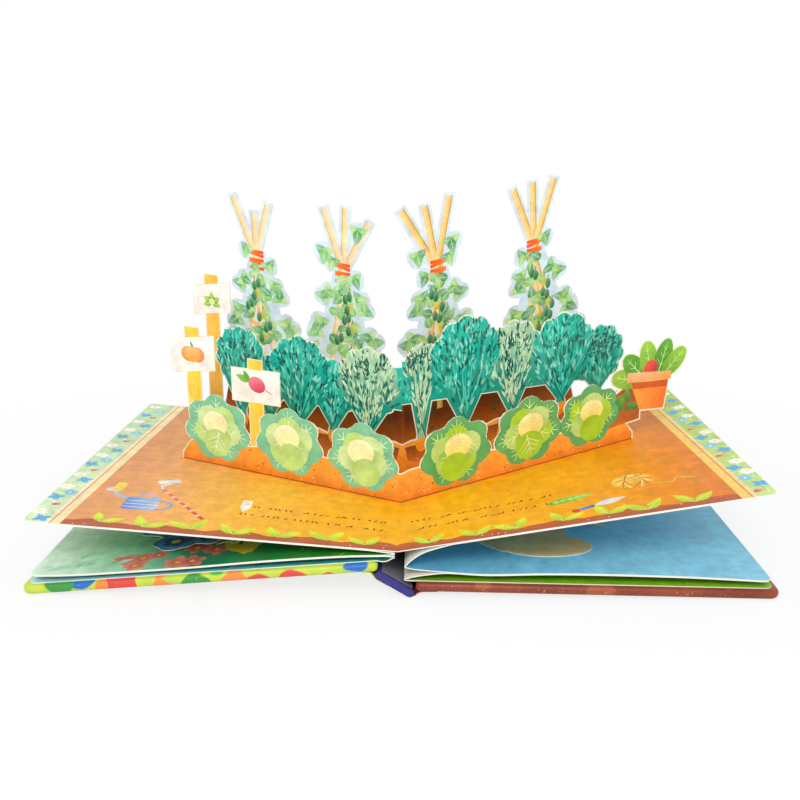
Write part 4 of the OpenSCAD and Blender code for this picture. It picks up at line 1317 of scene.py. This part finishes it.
foldedCard("folded_blooms_two", leafA, 1.2,
           [lobedShape((-131, -96), 13, 5, 0.15, 260), lobedShape((-112, -92), 11, 5, 0.15, 220),
            lobedShape((-146, -74), 11, 5, 0.15, 220),
            [(-150, -80), (-130, -96), (-110, -92), (-60, -30), (-60, 0)]], ink(12, 84, 170), paintBlooms)
foldedCard("folded_leaves_two", leafA, 0,
           [leafShape((-60, -60 + 4 * k), 222 + 9 * k, 62 - 3 * k, 15) for k in range(5)] + [[(-30, -70),
                   (-75, -75), (-80, -20), (-30, 0)]],
           ink(86, 160, 60), paintGreens)
foldedCard("folded_card_four", leafD, 0, [lobedShape((86, -92), 27, 2, 0, 0, 0.62, 20),
                                          [(40, -80), (60, -100), (100, -84), (100, -40), (40, -20)]],
           ink(244, 206, 140), paintDisc)
foldedCard("folded_tongue_four", leafD, 1.2, [leafShape((60, -10), -38, 84, 24, 10)], ink(240, 214, 160),
           paintTongue)
print("folded cards made")

# Signs on stakes, glued behind the left wing of a row
signLook = dict(board=ink(253, 250, 242), grain=ink(240, 235, 224))
signs = dict(
    tall_sign=dict(y=-4, s=142, h=103, w=30, d=21, foot=6, lean=2.5, stake=(254, 190, 40)),
    left_sign=dict(y=-54, s=146, h=73, w=33, d=23.5, foot=24, lean=2.7, stake=(255, 206, 20)),
    front_sign=dict(y=-54, s=100, h=58.5, w=35.5, d=22.5, foot=4, lean=0.5, stake=(255, 204, 6)))


def paintRadish(card, c, k):
    card.paint(ovalShape(c + [-6 * k, -1], 20, 11 * k, 9 * k), ink(214, 52, 84), ink(240, 120, 140),
               c + [-2 * k, -4], c + [0, 4])
    card.paint(leafShape(c + [4 * k, 2.5], 20, 9 * k, 4 * k), ink(60, 150, 50), ink(140, 196, 80), c,
               c + [10, 4])
    card.paint(leafShape(c + [4 * k, 2.5], 62, 7 * k, 3.4 * k), ink(90, 170, 60))
    card.paint(strokeShape([c + [-6 * k, -1.5], c + [-11 * k, -4]], 0.8, 0.2), ink(220, 100, 120))


def paintSquash(card, c, k):
    for q, r, tone in ((-4, 5.4, (240, 140, 24)), (4, 5.4, (240, 140, 24)), (0, 5.8, (252, 172, 50))):
        card.paint(discShape(c + [q * k, 0], r * k, 14, 1.0), ink(*tone), tint(ink(*tone), 0.2),
                   c + [0, -5], c + [0, 5])
    card.paint(strokeShape([c + [0, 5.4 * k], c + [1.5, 8.6 * k]], 1.6, 1.0), ink(70, 140, 60))


def paintSprout(card, c, k):
    for a in (200, 150, 90, 30, -20):
        p = c + [0, -4 * k]
        card.paint(leafShape(p, a, 12 * k, 7 * k), ink(96, 172, 50), ink(176, 214, 90), p,
                   p + heading(a) * 11 * k)
        card.paint(strokeShape([p, p + heading(a) * 9 * k], 0.6, 0.2), ink(220, 238, 160))
    card.paint(discShape(c + [0, -3.4 * k], 3.6 * k, 12), ink(236, 238, 160))


pictures = dict(tall_sign=(paintSprout, 0.62), left_sign=(paintSquash, 0.95),
                front_sign=(paintRadish, 1.15))


def signCard(name, q):
    s, h, w, d, lean = q["s"], q["h"], q["w"], q["d"], q["lean"]
    ends = [(s - w / 2, h - d / 2 + lean), (s + w / 2, h - d / 2 - lean), (s + w / 2, h + d / 2 - lean),
            (s - w / 2, h + d / 2 + lean)]
    stake = boxShape(s - 5.5, q["foot"], s + 5.5, h + d / 2 + 6.5)
    wood, c = ink(*q["stake"]), np.array([s, h])
    card = Card(plainGround(ink(248, 228, 176)))
    card.cut(ends)
    card.cut(stake)
    card.paint(boxShape(s - 5, q["foot"], s + 5, h + d / 2 + 6), wood, tint(wood, 0.12), (s - 5, h),
               (s + 5, h))
    for k in range(7):
        x = s - 4.2 + 1.4 * k
        card.paint(strokeShape([(x, q["foot"] + 2), (x + 0.3, h + d / 2 + 4)], 0.4, 0.2),
                   tint(wood, -0.07 if k % 2 else 0.16))
    card.paint([c + (np.array(p) - c) * [0.975, 0.965] for p in ends], signLook["board"],
               tint(signLook["grain"], 0.2), (s, h + d / 2), (s, h - d / 2))
    for k in range(9):
        y = h - d * 0.42 + d * 0.1 * k
        card.paint(strokeShape([(s - w * 0.45, y + lean * 0.8), (s + w * 0.45, y - lean * 0.8)], 0.35,
                               0.15), signLook["grain"])
    draw, size = pictures[name]
    draw(card, c, size)
    return card


for name, q in signs.items():
    place = onWing(q["y"] + 0.65 / math.cos(wingTurn), -1)
    makePiece(name, [signCard(name, q).shell(place)], rowCard, "block", (name,))
print("signs made")

# A plain pale floor that keeps the book's soft shadow, and a white room
room = dict(floorHalf=6.0, worldLevel=0.8, keyWatts=8.6, keyAt=(-0.1, -1.2, 0.95), keySize=0.5)


def addFloor(r):
    mesh = bpy.data.meshes.new("floor")
    h = r["floorHalf"]
    mesh.from_pydata([(-h, -h, -0.0003), (h, -h, -0.0003), (h, h, -0.0003), (-h, h, -0.0003)], [],
                     [(0, 1, 2, 3)])
    f = Finish("white_floor")
    away = f.add("VectorMath", {"operation": "LENGTH"}, {0: f.place}, out="Value")
    path = f.add("LightPath", out="Is Camera Ray")
    seen = path + f.add("LightPath", out="Is Glossy Ray") + f.add("LightPath", out="Is Transmission Ray")
    tooth = f.noise(300, 2)
    plain = f.add("BsdfDiffuse", None, {"Color": f.mix(tooth, (0.92, 0.92, 0.92), (0.97, 0.97, 0.97))})
    lit = f.add("Emission", None, {"Color": (1, 1, 1, 1), "Strength": 1.0})
    amount = f.band(away, 0.28, 0.55, (0.8, 1.0)) * f.band(seen, 0.0, 1.0)
    mixed = f.add("MixShader", None, {0: amount, 1: plain, 2: lit})
    f.add("OutputMaterial", None, {"Surface": mixed})
    floor = bpy.data.objects.new("floor", mesh)
    mesh.materials.append(f.material)
    scene.collection.objects.link(floor)


def addLight(r):
    world = bpy.data.worlds.new("white_room")
    scene.world = world
    world.use_nodes = True
    nodes, links = world.node_tree.nodes, world.node_tree.links
    nodes.clear()
    out, mixed = nodes.new("ShaderNodeOutputWorld"), nodes.new("ShaderNodeMixShader")
    level, white = (nodes.new("ShaderNodeBackground") for _ in range(2))
    path = nodes.new("ShaderNodeLightPath")
    level.inputs["Strength"].default_value, white.inputs["Strength"].default_value = r["worldLevel"], 1.0
    level.inputs["Color"].default_value = white.inputs["Color"].default_value = (1, 1, 1, 1)
    total = path.outputs["Is Camera Ray"]
    for other in ("Is Glossy Ray", "Is Transmission Ray"):
        add = nodes.new("ShaderNodeMath")
        add.use_clamp = True
        links.new(total, add.inputs[0])
        links.new(path.outputs[other], add.inputs[1])
        total = add.outputs[0]
    links.new(total, mixed.inputs[0])
    links.new(level.outputs[0], mixed.inputs[1])
    links.new(white.outputs[0], mixed.inputs[2])
    links.new(mixed.outputs[0], out.inputs["Surface"])
    lamp = bpy.data.lights.new("key", "AREA")
    lamp.energy, lamp.size = r["keyWatts"], r["keySize"]
    key = bpy.data.objects.new("key", lamp)
    aim = Vector((0, 0, 0.05)) - Vector(r["keyAt"])
    key.matrix_world = Matrix.Translation(r["keyAt"]) @ aim.to_track_quat("-Z", "Y").to_matrix().to_4x4()
    scene.collection.objects.link(key)


addFloor(room)
addLight(room)
print("floor and light placed")

bpy.context.view_layer.update()
